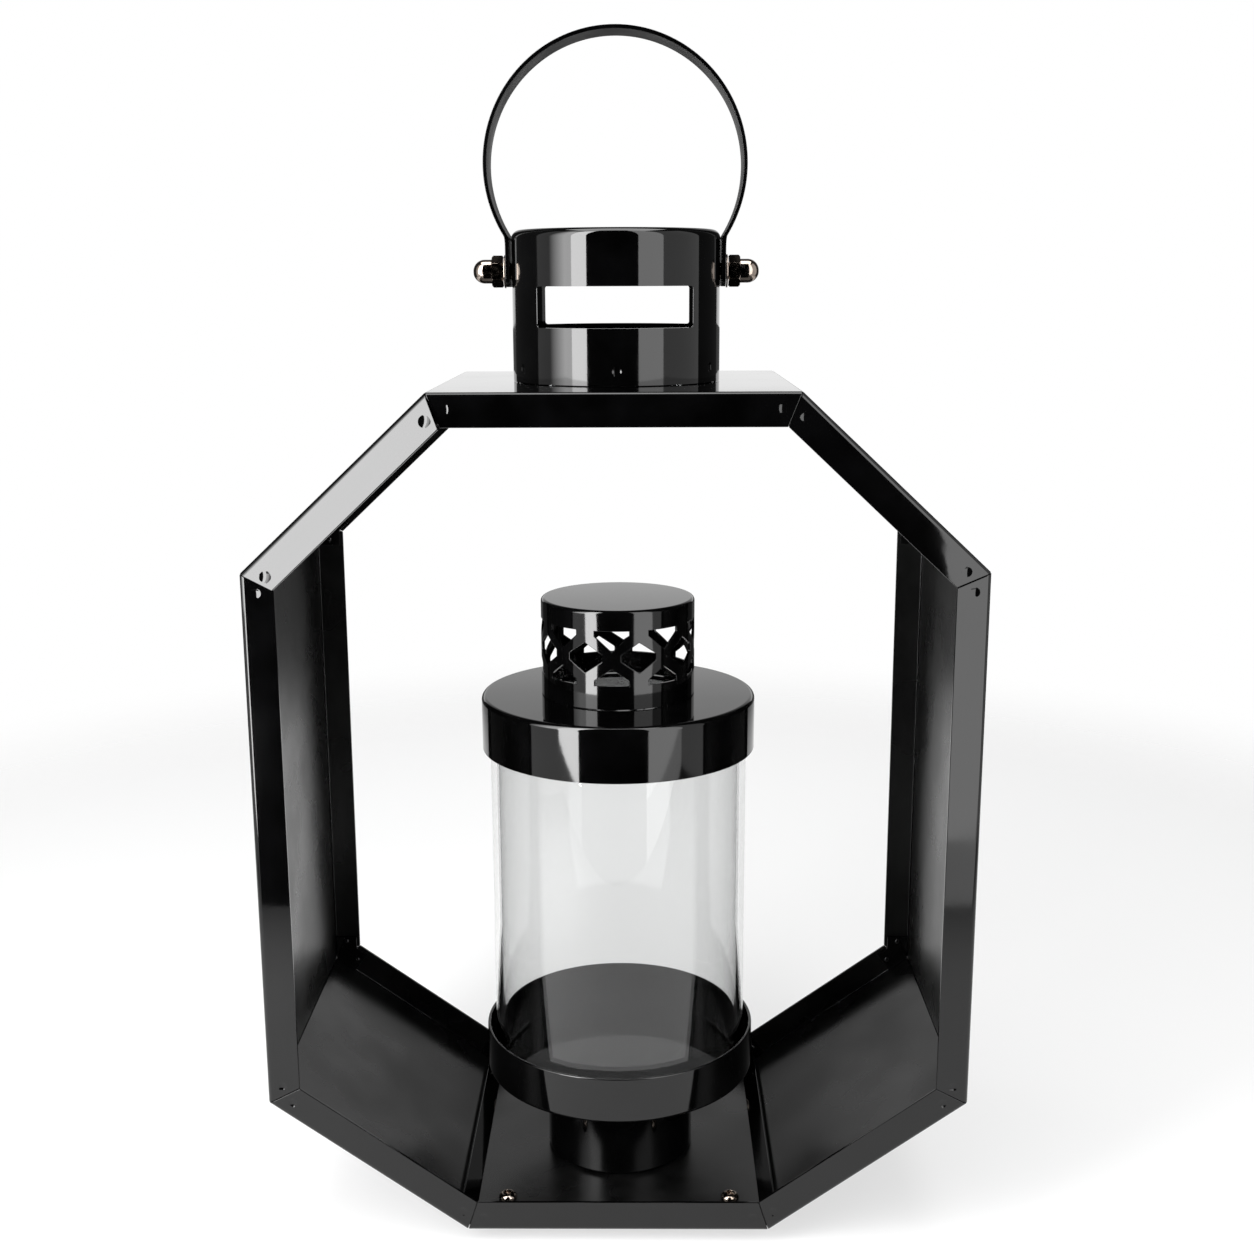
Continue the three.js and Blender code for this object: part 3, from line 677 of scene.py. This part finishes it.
FOOT = {
    "top": 5.5 * MM,
    "base": 6.5 * MM,
    "round": 0.4 * MM,
    "dish": 3.4 * MM,
    "dish_depth": 0.5 * MM,
    "bore": 2.2 * MM,
    "bore_end": 1.1 * MM,
}
SCREW = {"head": 3.5 * MM, "rise": 2.1 * MM, "dome": 1.512 * MM, "shank": 1.9 * MM, "edge": 0.12 * MM}
SCREW_RECESS = {"reach": 3.4 * MM, "width": 0.8 * MM, "depth": 1 * MM}
THROUGH = 1 * MM
SCREW_TURNS = {"front_left": 20, "front_right": 65, "back_left": 40, "back_right": 10}

rubber = paint_base("foot_rubber", (0.018, 0.018, 0.018), 0.75)
mottle(rubber, "Base Color", (0.013, 0.013, 0.013), (0.027, 0.027, 0.026), 500)
mottle(rubber, "Roughness", 0.62, 0.85, 900)
ripple(rubber, (1500, 0.03 * MM))

black_nickel = paint_base("black_nickel", (0.34, 0.285, 0.245), 0.09, {"Metallic": 1.0})
mottle(black_nickel, "Base Color", (0.30, 0.25, 0.21), (0.40, 0.34, 0.30), 300)
mottle(black_nickel, "Roughness", 0.05, 0.14, 700)
ripple(black_nickel, (900, 0.0015 * MM))


def bar(name, radius, low, high, vertices=64):
    """A round bar, or a hexagonal one, upright between two heights."""
    object_mode()
    bpy.ops.mesh.primitive_cylinder_add(
        vertices=vertices, radius=radius, depth=high - low, location=(0, 0, (low + high) / 2)
    )
    return named(name)


def block(name, size, place):
    """A box of a size, round a place."""
    object_mode()
    bpy.ops.mesh.primitive_cube_add(size=1, location=place)
    bpy.context.object.scale = size
    return named(name)


def copy_of(piece, name):
    """A copy of the piece with a mesh of its own."""
    twin = piece.copy()
    twin.data = piece.data.copy()
    twin.name = name
    twin.data.name = name
    bpy.context.scene.collection.objects.link(twin)
    return twin


def facing_up(centre, normal):
    """Whether a face is level and looks up."""
    return normal.z > 0.9


def facing_down(centre, normal):
    """Whether a face is level and looks down."""
    return normal.z < -0.9


foot_low, foot_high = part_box("foot_front_left")
foot_model = bar("foot", FOOT["base"], foot_low.z, foot_high.z)
pick(foot_model, "corners", lambda co: co.z > foot_low.z + NEAR)
taper = FOOT["top"] / FOOT["base"]
bpy.ops.transform.resize(value=(taper, taper, 1), center_override=(0, 0, 0))
pick(foot_model, "faces", facing_down)
bpy.ops.mesh.inset(thickness=FOOT["base"] - FOOT["dish"])
bpy.ops.mesh.extrude_region_move(TRANSFORM_OT_translate={"value": (0, 0, FOOT["dish_depth"])})
round_edges(foot_model, FOOT["round"], segments=4)
cut(foot_model, bar("bore", FOOT["bore"], FOOT["bore_end"], foot_high.z + THROUGH, vertices=32))

screw_low, screw_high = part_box("foot_screw_front_left")
screw_seat = screw_high.z - SCREW["rise"]
screw_model = bar("foot_screw", SCREW["head"], screw_seat, screw_high.z, vertices=48)
pick(screw_model, "edges", lambda a, b: min(a.z, b.z) > screw_high.z - NEAR)
bpy.ops.mesh.bevel(offset=SCREW["dome"], segments=8, profile=0.42, affect="EDGES")
pick(screw_model, "faces", facing_down)
bpy.ops.mesh.inset(thickness=SCREW["head"] - SCREW["shank"])
bpy.ops.mesh.extrude_region_move(TRANSFORM_OT_translate={"value": (0, 0, screw_low.z - screw_seat)})


def cut_cross(screw, height, reach, width, depth):
    """Sinks a cross recess in a head's level face, one bar of the cross at a time."""
    for turn in (0, math.pi / 2):
        recess = block("recess", (reach, width, 2 * depth), (0, 0, 0))
        cut(screw, put(recess, (0, 0, height), (0, 0, turn)))


cut_cross(screw_model, screw_high.z, **SCREW_RECESS)
round_edges(screw_model, SCREW["edge"], over=45)

for place_name, degrees in SCREW_TURNS.items():
    low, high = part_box(f"foot_{place_name}")
    spot = ((low.x + high.x) / 2, (low.y + high.y) / 2, 0)
    foot = put(copy_of(foot_model, f"rubber_foot_{place_name}"), spot)
    finish(foot, rubber, "frame", f"foot_{place_name}")
    screw = put(copy_of(screw_model, f"dome_screw_{place_name}"), spot, (0, 0, math.radians(degrees)))
    finish(screw, black_nickel, "frame", f"foot_screw_{place_name}")
bpy.data.objects.remove(foot_model)
bpy.data.objects.remove(screw_model)


# ---------------------------------------------------------------- collar
# A cap drawn from one disc of sheet, with a long window punched through its front and its back. It is
# spot-welded over a flanged ring, which four rivets hold to the top panel.

ROUND = 144
COLLAR = {"shoulder": 3.0 * MM, "edge": 0.25 * MM}
WINDOW = {"width": 55.4 * MM, "low": 337.6 * MM, "high": 352.0 * MM, "corner": 0.9 * MM}
PIVOT_HOLE = 3.2 * MM
RING = {"hole": 28 * MM, "bend": 1.6 * MM, "edge": 0.2 * MM}
RIVET = {"shank": 1.5 * MM, "head": 1.1 * MM, "round": 0.8 * MM}

# Degrees round from the front, and millimetres up from the collar's foot.
COLLAR_WELDS = {1: 5.0, 63: 5.5, 118: 5.0, 181: 5.0, 242: 5.5, 299: 5.0}
WELD_DIMPLE = {"radius": 1.9 * MM, "ball": 4.2 * MM}


def on_rim(a, b, radius):
    """Whether an edge is level and runs along a circle of this radius."""
    return abs(a.z - b.z) < NEAR and min(a.xy.length, b.xy.length) > radius - NEAR


def drawn_cap(name, radius, bottom, top, shoulder, wall):
    """A round cap, open below, with a rounded shoulder and an even wall."""
    cap = bar(name, radius, bottom, top, vertices=ROUND)
    pick(cap, "faces", facing_down)
    bpy.ops.mesh.delete(type="FACE")
    pick(cap, "edges", lambda a, b: min(a.z, b.z) > top - NEAR)
    bpy.ops.mesh.bevel(offset=shoulder, segments=8, affect="EDGES")
    thicken(cap, wall)
    return cap


def side_bore(radius, height, reach=60 * MM):
    """A round bar along X, at a height."""
    return hole_tool(radius, (0, 0, height), (0, math.pi / 2, 0), length=2 * reach, vertices=40)


collar_low, collar_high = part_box("collar")
pivot_low, pivot_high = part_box("cap_nut_right")
pivot_height = (pivot_low.z + pivot_high.z) / 2
collar = drawn_cap("windowed_collar", collar_high.x, collar_low.z, collar_high.z, COLLAR["shoulder"], SHEET)
window_size = (WINDOW["width"], 4 * collar_high.x, WINDOW["high"] - WINDOW["low"])
window_middle = (0, 0, (WINDOW["high"] + WINDOW["low"]) / 2)
window_tool = block("window_tool", window_size, window_middle)
pick(window_tool, "edges", lambda a, b: abs(a.y - b.y) > NEAR)
bpy.ops.mesh.bevel(offset=WINDOW["corner"], segments=5, affect="EDGES")
cut(collar, window_tool)
cut(collar, side_bore(PIVOT_HOLE, pivot_height))
round_edges(collar, COLLAR["edge"])
for degrees, rise in COLLAR_WELDS.items():
    out = Vector((math.sin(math.radians(degrees)), -math.cos(math.radians(degrees)), 0))
    mark = out * collar_high.x + Vector((0, 0, collar_low.z + rise * MM))
    cut(collar, dimple_tool(mark, out, **WELD_DIMPLE))
finish(collar, enamel, "frame", "collar")

ring_low, ring_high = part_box("collar_seat_ring")
seat_ring = bar("collar_seat", ring_high.x, ring_low.z, ring_high.z, vertices=ROUND)
pick(seat_ring, "faces", facing_up)
bpy.ops.mesh.delete(type="FACE")
pick(seat_ring, "faces", facing_down)
bpy.ops.mesh.inset(thickness=ring_high.x - RING["hole"])
bpy.ops.mesh.delete(type="FACE")
pick(seat_ring, "edges", lambda a, b: on_rim(a, b, ring_high.x) and max(a.z, b.z) < ring_low.z + NEAR)
bpy.ops.mesh.bevel(offset=RING["bend"], segments=5, affect="EDGES")
thicken(seat_ring, SHEET)
round_edges(seat_ring, RING["edge"])
finish(seat_ring, enamel, "frame", "collar_seat_ring")

zinc = paint_base("zinc_plate", (0.56, 0.57, 0.58), 0.32, {"Metallic": 1.0})
mottle(zinc, "Base Color", (0.47, 0.48, 0.50), (0.63, 0.64, 0.64), 350)
mottle(zinc, "Roughness", 0.24, 0.42, 250)
ripple(zinc, (1400, 0.004 * MM))

for number in range(1, 5):
    low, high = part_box(f"collar_rivet_{number}")
    middle = (low + high) / 2
    head_low, head_high = low.z + RIVET["head"], high.z - RIVET["head"]
    spread = (high.x - low.x) / 2 / RIVET["shank"]
    rivet = bar(f"rivet_{number}", RIVET["shank"], head_low, head_high, vertices=40)
    for sign, end in ((1, head_high), (-1, head_low)):
        pick(rivet, "faces", lambda centre, normal: abs(centre.z - end) < NEAR and normal.z * sign > 0.9)
        bpy.ops.mesh.extrude_region_move()
        bpy.ops.transform.resize(value=(spread, spread, 1), center_override=(0, 0, 0))
        bpy.ops.mesh.extrude_region_move(TRANSFORM_OT_translate={"value": (0, 0, sign * RIVET["head"])})
    pick(
        rivet,
        "edges",
        lambda a, b: abs(a.z - b.z) < NEAR and max(a.z - head_high, head_low - a.z) > NEAR,
    )
    bpy.ops.mesh.bevel(offset=RIVET["round"], segments=6, affect="EDGES")
    put(rivet, (middle.x, middle.y, 0))
    finish(rivet, zinc, "frame", f"collar_rivet_{number}")


# ---------------------------------------------------------------- handle
# One flat steel strap, rolled to a circle, its two ends bent straight, rounded and drilled for the
# pivots. It is enamelled like the frame, nearly matt and with painted shade inside the ring, and swings to
# either side.

STRAP = {
    "thickness": 1.4 * MM,
    "radius": 47.5 * MM,
    "leg": 40.1 * MM,
    "knee_bend": 3.0 * MM,
    "end_round": 4.0 * MM,
    "edge": 0.3 * MM,
}

strap_low, strap_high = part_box("handle_strap")
strap_centre = strap_high.z - STRAP["radius"]
knee = strap_centre - math.sqrt(STRAP["radius"] ** 2 - STRAP["leg"] ** 2)
object_mode()
bpy.ops.mesh.primitive_circle_add(
    vertices=160,
    radius=STRAP["radius"],
    location=(0, strap_low.y, strap_centre),
    rotation=(math.pi / 2, 0, 0),
)
strap = named("strap_handle")
pick_all(strap, "edges")
bpy.ops.mesh.bisect(plane_co=(0, 0, knee), plane_no=(0, 0, 1), clear_inner=True)
pick(strap, "corners", lambda co: co.z < knee + NEAR)
bpy.ops.mesh.extrude_region_move(TRANSFORM_OT_translate={"value": (0, 0, strap_low.z - knee)})
pick_all(strap, "edges")
bpy.ops.mesh.extrude_region_move(TRANSFORM_OT_translate={"value": (0, strap_high.y - strap_low.y, 0)})
pick(strap, "edges", lambda a, b: abs(a.z - knee) < NEAR and abs(b.z - knee) < NEAR)
bpy.ops.mesh.bevel(offset=STRAP["knee_bend"], segments=5, affect="EDGES")
turn_faces(strap, lambda face: face.center.z, 1)
thicken(strap, STRAP["thickness"])
across_strap = STRAP["thickness"] / 3
pick(strap, "edges", lambda a, b: abs(a.x - b.x) > across_strap and max(a.z, b.z) < strap_low.z + NEAR)
bpy.ops.mesh.bevel(offset=STRAP["end_round"], segments=6, affect="EDGES")
cut(strap, side_bore(PIVOT_HOLE, pivot_height))
round_edges(strap, STRAP["edge"], segments=3)
finish(strap, enamel, "handle", "handle_strap")

# Inside the ring the enamel is thin and rough, and its reflection is turned down: painted shade, to keep
# the ring's inside dark.
strap_inside_painted_shade = thin_enamel(0.4, 0.5, 60, {"Specular IOR Level": 0.12})
strap_middle = Vector((0, 0, strap_centre))
line_with(strap, strap_inside_painted_shade, lambda at, normal: abs(normal.y) < 0.3 and normal.dot(at - strap_middle) < 0)


# ---------------------------------------------------------------- handle pivots
# A pan-head screw from inside the collar, and a thin washer and a domed cap nut outside the strap, at
# each side. All are polished black nickel. Each is made upright, on the axis, and then laid along X.

NUT = {
    "flats": 10 * MM,
    "hex": 4.3 * MM,
    "chamfer": 0.55 * MM,
    "edge": 0.15 * MM,
    "dome": 4.3 * MM,
    "dome_round": 4.2355 * MM,
    "bore_depth": 8 * MM,
}
PIVOT_HEAD = {"height": 3.0 * MM, "round": 1.3 * MM, "shank": 2.9 * MM, "edge": 0.12 * MM}
PIVOT_RECESS = {"reach": 5.6 * MM, "width": 1.1 * MM, "depth": 1.5 * MM}
WASHER_EDGE = 0.12 * MM

nut_low, nut_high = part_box("cap_nut_right")
nut_shoulder = nut_low.x + NUT["hex"]
nut_model = bar("cap_nut", NUT["flats"] / math.sqrt(3), nut_low.x, nut_shoulder, vertices=6)
chamfered = bar("chamfered", NUT["flats"] / math.sqrt(3), nut_low.x, nut_shoulder)
pick(chamfered, "edges", lambda a, b: abs(a.z - b.z) < NEAR)
bpy.ops.mesh.bevel(offset=NUT["chamfer"], segments=1, affect="EDGES")
select(nut_model)
alter(nut_model, "BOOLEAN", operation="INTERSECT", solver="EXACT", object=chamfered)
bpy.data.objects.remove(chamfered)
round_edges(nut_model, NUT["edge"], over=50)
dome = bar("dome", NUT["dome"], nut_shoulder - THROUGH, nut_high.x)
pick(dome, "edges", lambda a, b: min(a.z, b.z) > nut_high.x - NEAR)
bpy.ops.mesh.bevel(offset=NUT["dome_round"], segments=12, affect="EDGES")
add(nut_model, dome)
cut(nut_model, bar("bore", PIVOT_HOLE, nut_low.x - THROUGH, nut_low.x + NUT["bore_depth"], vertices=40))
put(nut_model, turn=(0, 0, math.pi / 2))

washer_low, washer_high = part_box("pivot_washer_right")
washer_model = bar("washer", washer_high.y, washer_low.x, washer_high.x)
bore = bar("bore", PIVOT_HOLE, washer_low.x - THROUGH, washer_high.x + THROUGH, vertices=40)
cut(washer_model, bore)
round_edges(washer_model, WASHER_EDGE)

pin_low, pin_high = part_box("pivot_screw_right")
pin_seat = pin_low.x + PIVOT_HEAD["height"]
pin_model = bar("pivot_screw", pin_high.y, pin_low.x, pin_seat)
pick(pin_model, "edges", lambda a, b: max(a.z, b.z) < pin_low.x + NEAR)
bpy.ops.mesh.bevel(offset=PIVOT_HEAD["round"], segments=6, affect="EDGES")
pick(pin_model, "faces", facing_up)
bpy.ops.mesh.inset(thickness=pin_high.y - PIVOT_HEAD["shank"])
bpy.ops.mesh.extrude_region_move(TRANSFORM_OT_translate={"value": (0, 0, pin_high.x - pin_seat)})
cut_cross(pin_model, pin_low.x, **PIVOT_RECESS)
round_edges(pin_model, PIVOT_HEAD["edge"], over=45)

for side_name, half_turn in (("right", 0.0), ("left", math.pi)):
    for model, piece_name, node in (
        (nut_model, "domed_nut", "cap_nut"),
        (washer_model, "thin_washer", "pivot_washer"),
        (pin_model, "pan_screw", "pivot_screw"),
    ):
        piece = put(copy_of(model, f"{piece_name}_{side_name}"), turn=(0, math.pi / 2, 0))
        put(piece, (0, 0, pivot_height), (0, 0, half_turn))
        finish(piece, black_nickel, "frame", f"{node}_{side_name}")
for model in (nut_model, washer_model, pin_model):
    bpy.data.objects.remove(model)


# ---------------------------------------------------------------- pedestal and cup
# The pedestal is a short rolled tube with both ends turned in. The cup that the glass stands in is a
# pressed dish with a rounded rim. One bolt, from below, holds both to the bottom panel.

PEDESTAL = {"lip": 8 * MM, "bend": 1.4 * MM, "edge": 0.2 * MM}
CUP = {"bend": 1.6 * MM, "rim": 0.45 * MM}
BOLT = {"flats": 8 * MM, "head": 2.3 * MM, "shank": 2.4 * MM, "edge": 0.3 * MM}
WIDE_WASHER = {"hole": 2.8 * MM, "edge": 0.15 * MM}

pedestal_low, pedestal_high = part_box("pedestal")
pedestal = bar("pedestal_tube", pedestal_high.x, pedestal_low.z, pedestal_high.z, vertices=ROUND)
pick(pedestal, "faces", lambda centre, normal: abs(normal.z) > 0.9)
bpy.ops.mesh.inset(thickness=PEDESTAL["lip"])
bpy.ops.mesh.delete(type="FACE")
pick(pedestal, "edges", lambda a, b: on_rim(a, b, pedestal_high.x))
bpy.ops.mesh.bevel(offset=PEDESTAL["bend"], segments=5, affect="EDGES")
thicken(pedestal, SHEET)
round_edges(pedestal, PEDESTAL["edge"])
finish(pedestal, enamel, "frame", "pedestal")

cup_low, cup_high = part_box("cup")
cup = bar("glass_cup", cup_high.x, cup_low.z, cup_high.z, vertices=ROUND)
pick(cup, "faces", facing_up)
bpy.ops.mesh.delete(type="FACE")
pick(cup, "edges", lambda a, b: max(a.z, b.z) < cup_low.z + NEAR)
bpy.ops.mesh.bevel(offset=CUP["bend"], segments=6, affect="EDGES")
thicken(cup, SHEET)
round_edges(cup, CUP["rim"], segments=4)
finish(cup, enamel, "frame", "cup")

# The weld nut is out of sight inside the pedestal. Its node stays, and is only plated.
nut_under_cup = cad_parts["weld_nut"]
nut_under_cup.data.materials.clear()
nut_under_cup.data.materials.append(zinc)

bolt_low, bolt_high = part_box("pedestal_bolt")
bolt = bar("hex_bolt", BOLT["flats"] / math.sqrt(3), bolt_low.z, bolt_low.z + BOLT["head"], vertices=6)
round_edges(bolt, BOLT["edge"])
shank = bar("shank", BOLT["shank"], bolt_low.z + BOLT["head"] / 2, bolt_high.z, vertices=48)
round_edges(shank, BOLT["edge"])
add(bolt, shank)
finish(bolt, zinc, "frame", "pedestal_bolt")

disc_low, disc_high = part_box("bolt_washer")
bolt_washer = bar("wide_washer", disc_high.x, disc_low.z, disc_high.z)
cut(bolt_washer, hole_tool(WIDE_WASHER["hole"], (0, 0, disc_low.z), vertices=40))
round_edges(bolt_washer, WIDE_WASHER["edge"])
finish(bolt_washer, zinc, "frame", "bolt_washer")


# ---------------------------------------------------------------- glass
# A clear drawn tube, cut square and fire-polished, so that both ends are rounded. It stands loose in
# the cup.

GLASS = {"wall": 2.8 * MM, "lip": 1.2 * MM}

see_through = {"Transmission Weight": 1.0, "IOR": 1.5}
clear_glass = paint_base("clear_glass", (0.903, 0.908, 0.907), 0.0, see_through)
mottle(clear_glass, "Roughness", 0.0, 0.012, 35)
ripple(clear_glass, (9, 0.06 * MM))

glass_low, glass_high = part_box("glass_cylinder")
glass = bar("glass_tube", glass_high.x, glass_low.z, glass_high.z, vertices=ROUND)
pick(glass, "faces", lambda centre, normal: abs(normal.z) > 0.9)
bpy.ops.mesh.delete(type="FACE")
thicken(glass, GLASS["wall"])
round_edges(glass, GLASS["lip"], segments=5)
finish(glass, clear_glass, "glass", "glass_cylinder")


# ---------------------------------------------------------------- lid
# A shallow drawn cap that sits over the end of the glass, with a round hole for the hot air and four
# slots for the chimney's tabs.

LID = {"shoulder": 1.8 * MM, "hole": 26.6 * MM, "edge": 0.25 * MM}
TAB = {"width": 6 * MM, "toe": 4 * MM, "slack": 0.4 * MM, "edge": 0.15 * MM}
TAB_ANGLES = (45, 135, 225, 315)
CHIMNEY_WALL = 1.0 * MM

chimney_low, chimney_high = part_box("chimney")
chimney_middle = chimney_high.x - CHIMNEY_WALL / 2

lid_low, lid_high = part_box("lid")
lid = drawn_cap("glass_lid", lid_high.x, lid_low.z, lid_high.z, LID["shoulder"], SHEET)
cut(lid, hole_tool(LID["hole"], (0, 0, lid_high.z), length=5 * SHEET, vertices=ROUND))
slot_size = (CHIMNEY_WALL + 2 * TAB["slack"], TAB["width"] + 2 * TAB["slack"], 5 * SHEET)
for degrees in TAB_ANGLES:
    tab_slot = block("tab_slot", slot_size, (chimney_middle, 0, lid_high.z))
    cut(lid, put(tab_slot, turn=(0, 0, math.radians(degrees))))
round_edges(lid, LID["edge"], segments=3)
finish(lid, enamel, "lid", "lid")


# ---------------------------------------------------------------- chimney
# A strip of 1 mm sheet pierced with hexagons and with house-shaped openings between them, rolled into
# a band and closed by a drawn top. Four tabs on its foot pass through the lid and are bent over.

CHIMNEY = {"foot_gap": 0.3 * MM, "shoulder": 1.4 * MM, "cap": 4.0 * MM, "edge": 0.18 * MM}
REPEATS, FIRST_ANGLE = 9, -23.6
HEXAGON = {"half_width": 6.7 * MM, "side": 1.3 * MM, "half_height": 5.8 * MM, "middle": 19.5 * MM}
HOUSE = {"half_width": 6.5 * MM, "wall": 2.0 * MM}
UPPER = {"base": 29.8 * MM, "point": 22.0 * MM}
LOWER = {"base": 9.0 * MM, "point": 15.5 * MM}

chimney_base = lid_high.z + CHIMNEY["foot_gap"]
band_top = chimney_high.z - CHIMNEY["cap"]
strip_length = 2 * math.pi * chimney_middle
step = strip_length / REPEATS


def punch(outline, across):
    """A prism through the strip, from the outline's points across and up."""
    object_mode()
    bpy.ops.mesh.primitive_circle_add(vertices=len(outline), radius=5 * MM, fill_type="NGON")
    tool = named("punch")
    for corner, (x, z) in zip(tool.data.vertices, outline):
        corner.co = (x + across, -3 * CHIMNEY_WALL, z + chimney_base)
    pick_all(tool)
    bpy.ops.mesh.extrude_region_move(TRANSFORM_OT_translate={"value": (0, 6 * CHIMNEY_WALL, 0)})
    pick_all(tool)
    bpy.ops.mesh.normals_make_consistent(inside=False)
    return tool


def house(part):
    """Five points: a base, two short walls and a point."""
    half, base, point = HOUSE["half_width"], part["base"], part["point"]
    eaves = base + math.copysign(HOUSE["wall"], point - base)
    return [(half, base), (half, eaves), (0, point), (-half, eaves), (-half, base)]


hexagon = [
    (HEXAGON["half_width"], HEXAGON["middle"] - HEXAGON["side"]),
    (HEXAGON["half_width"], HEXAGON["middle"] + HEXAGON["side"]),
    (0, HEXAGON["middle"] + HEXAGON["half_height"]),
    (-HEXAGON["half_width"], HEXAGON["middle"] + HEXAGON["side"]),
    (-HEXAGON["half_width"], HEXAGON["middle"] - HEXAGON["side"]),
    (0, HEXAGON["middle"] - HEXAGON["half_height"]),
]
strip_size = (strip_length, CHIMNEY_WALL, band_top - chimney_base)
chimney = block("pierced_chimney", strip_size, (0, 0, (band_top + chimney_base) / 2))

# There is one more column at each end than the strip holds, so that the seam is cut from both sides.
punches = []
for number in range(-5, 6):
    across = FIRST_ANGLE / 360 * strip_length + number * step
    punches += [punch(hexagon, across), punch(house(UPPER), across + step / 2)]
    punches.append(punch(house(LOWER), across + step / 2))
cut(chimney, *punches)
pick(chimney, "faces", lambda centre, normal: abs(centre.x) > strip_length / 2 - NEAR)
bpy.ops.mesh.delete(type="FACE")
pick(chimney, "faces", lambda centre, normal: centre.z > band_top - NEAR)
bpy.ops.mesh.delete(type="FACE")
round_edges(chimney, CHIMNEY["edge"], over=50)
bpy.ops.object.mode_set(mode="EDIT")
for number in range(1, ROUND):
    bpy.ops.mesh.select_all(action="SELECT")
    across = (number / ROUND - 0.5) * strip_length
    bpy.ops.mesh.bisect(plane_co=(across, 0, 0), plane_no=(1, 0, 0))
alter(chimney, "SIMPLE_DEFORM", deform_method="BEND", deform_axis="Z", angle=2 * math.pi)
put(chimney, (0, -chimney_middle, 0))
cap = drawn_cap(
    "chimney_cap", chimney_high.x, band_top, chimney_high.z, CHIMNEY["shoulder"], CHIMNEY_WALL
)
pick(cap, "faces", lambda centre, normal: centre.z < band_top + NEAR)
bpy.ops.mesh.delete(type="FACE")
join(chimney, cap)
pick_all(chimney, "corners")
bpy.ops.mesh.remove_doubles(threshold=2 * NEAR)
finish(chimney, enamel, "lid", "chimney")

tab_low = chimney_low.z
for number, degrees in enumerate(TAB_ANGLES, 1):
    tab_size = (CHIMNEY_WALL, TAB["width"], chimney_base - tab_low)
    tab_middle = (chimney_middle, 0, (tab_low + chimney_base) / 2)
    tab = block(f"chimney_tab_{number}", tab_size, tab_middle)
    pick_all(tab)
    bpy.ops.mesh.bisect(plane_co=(0, 0, tab_low + CHIMNEY_WALL), plane_no=(0, 0, 1))
    pick(tab, "faces", lambda centre, normal: normal.x > 0.9 and centre.z < tab_low + CHIMNEY_WALL)
    toe = (TAB["toe"] - CHIMNEY_WALL, 0, 0)
    bpy.ops.mesh.extrude_region_move(TRANSFORM_OT_translate={"value": toe})
    round_edges(tab, TAB["edge"])
    put(tab, turn=(0, 0, math.radians(degrees)))
    finish(tab, enamel, "lid")
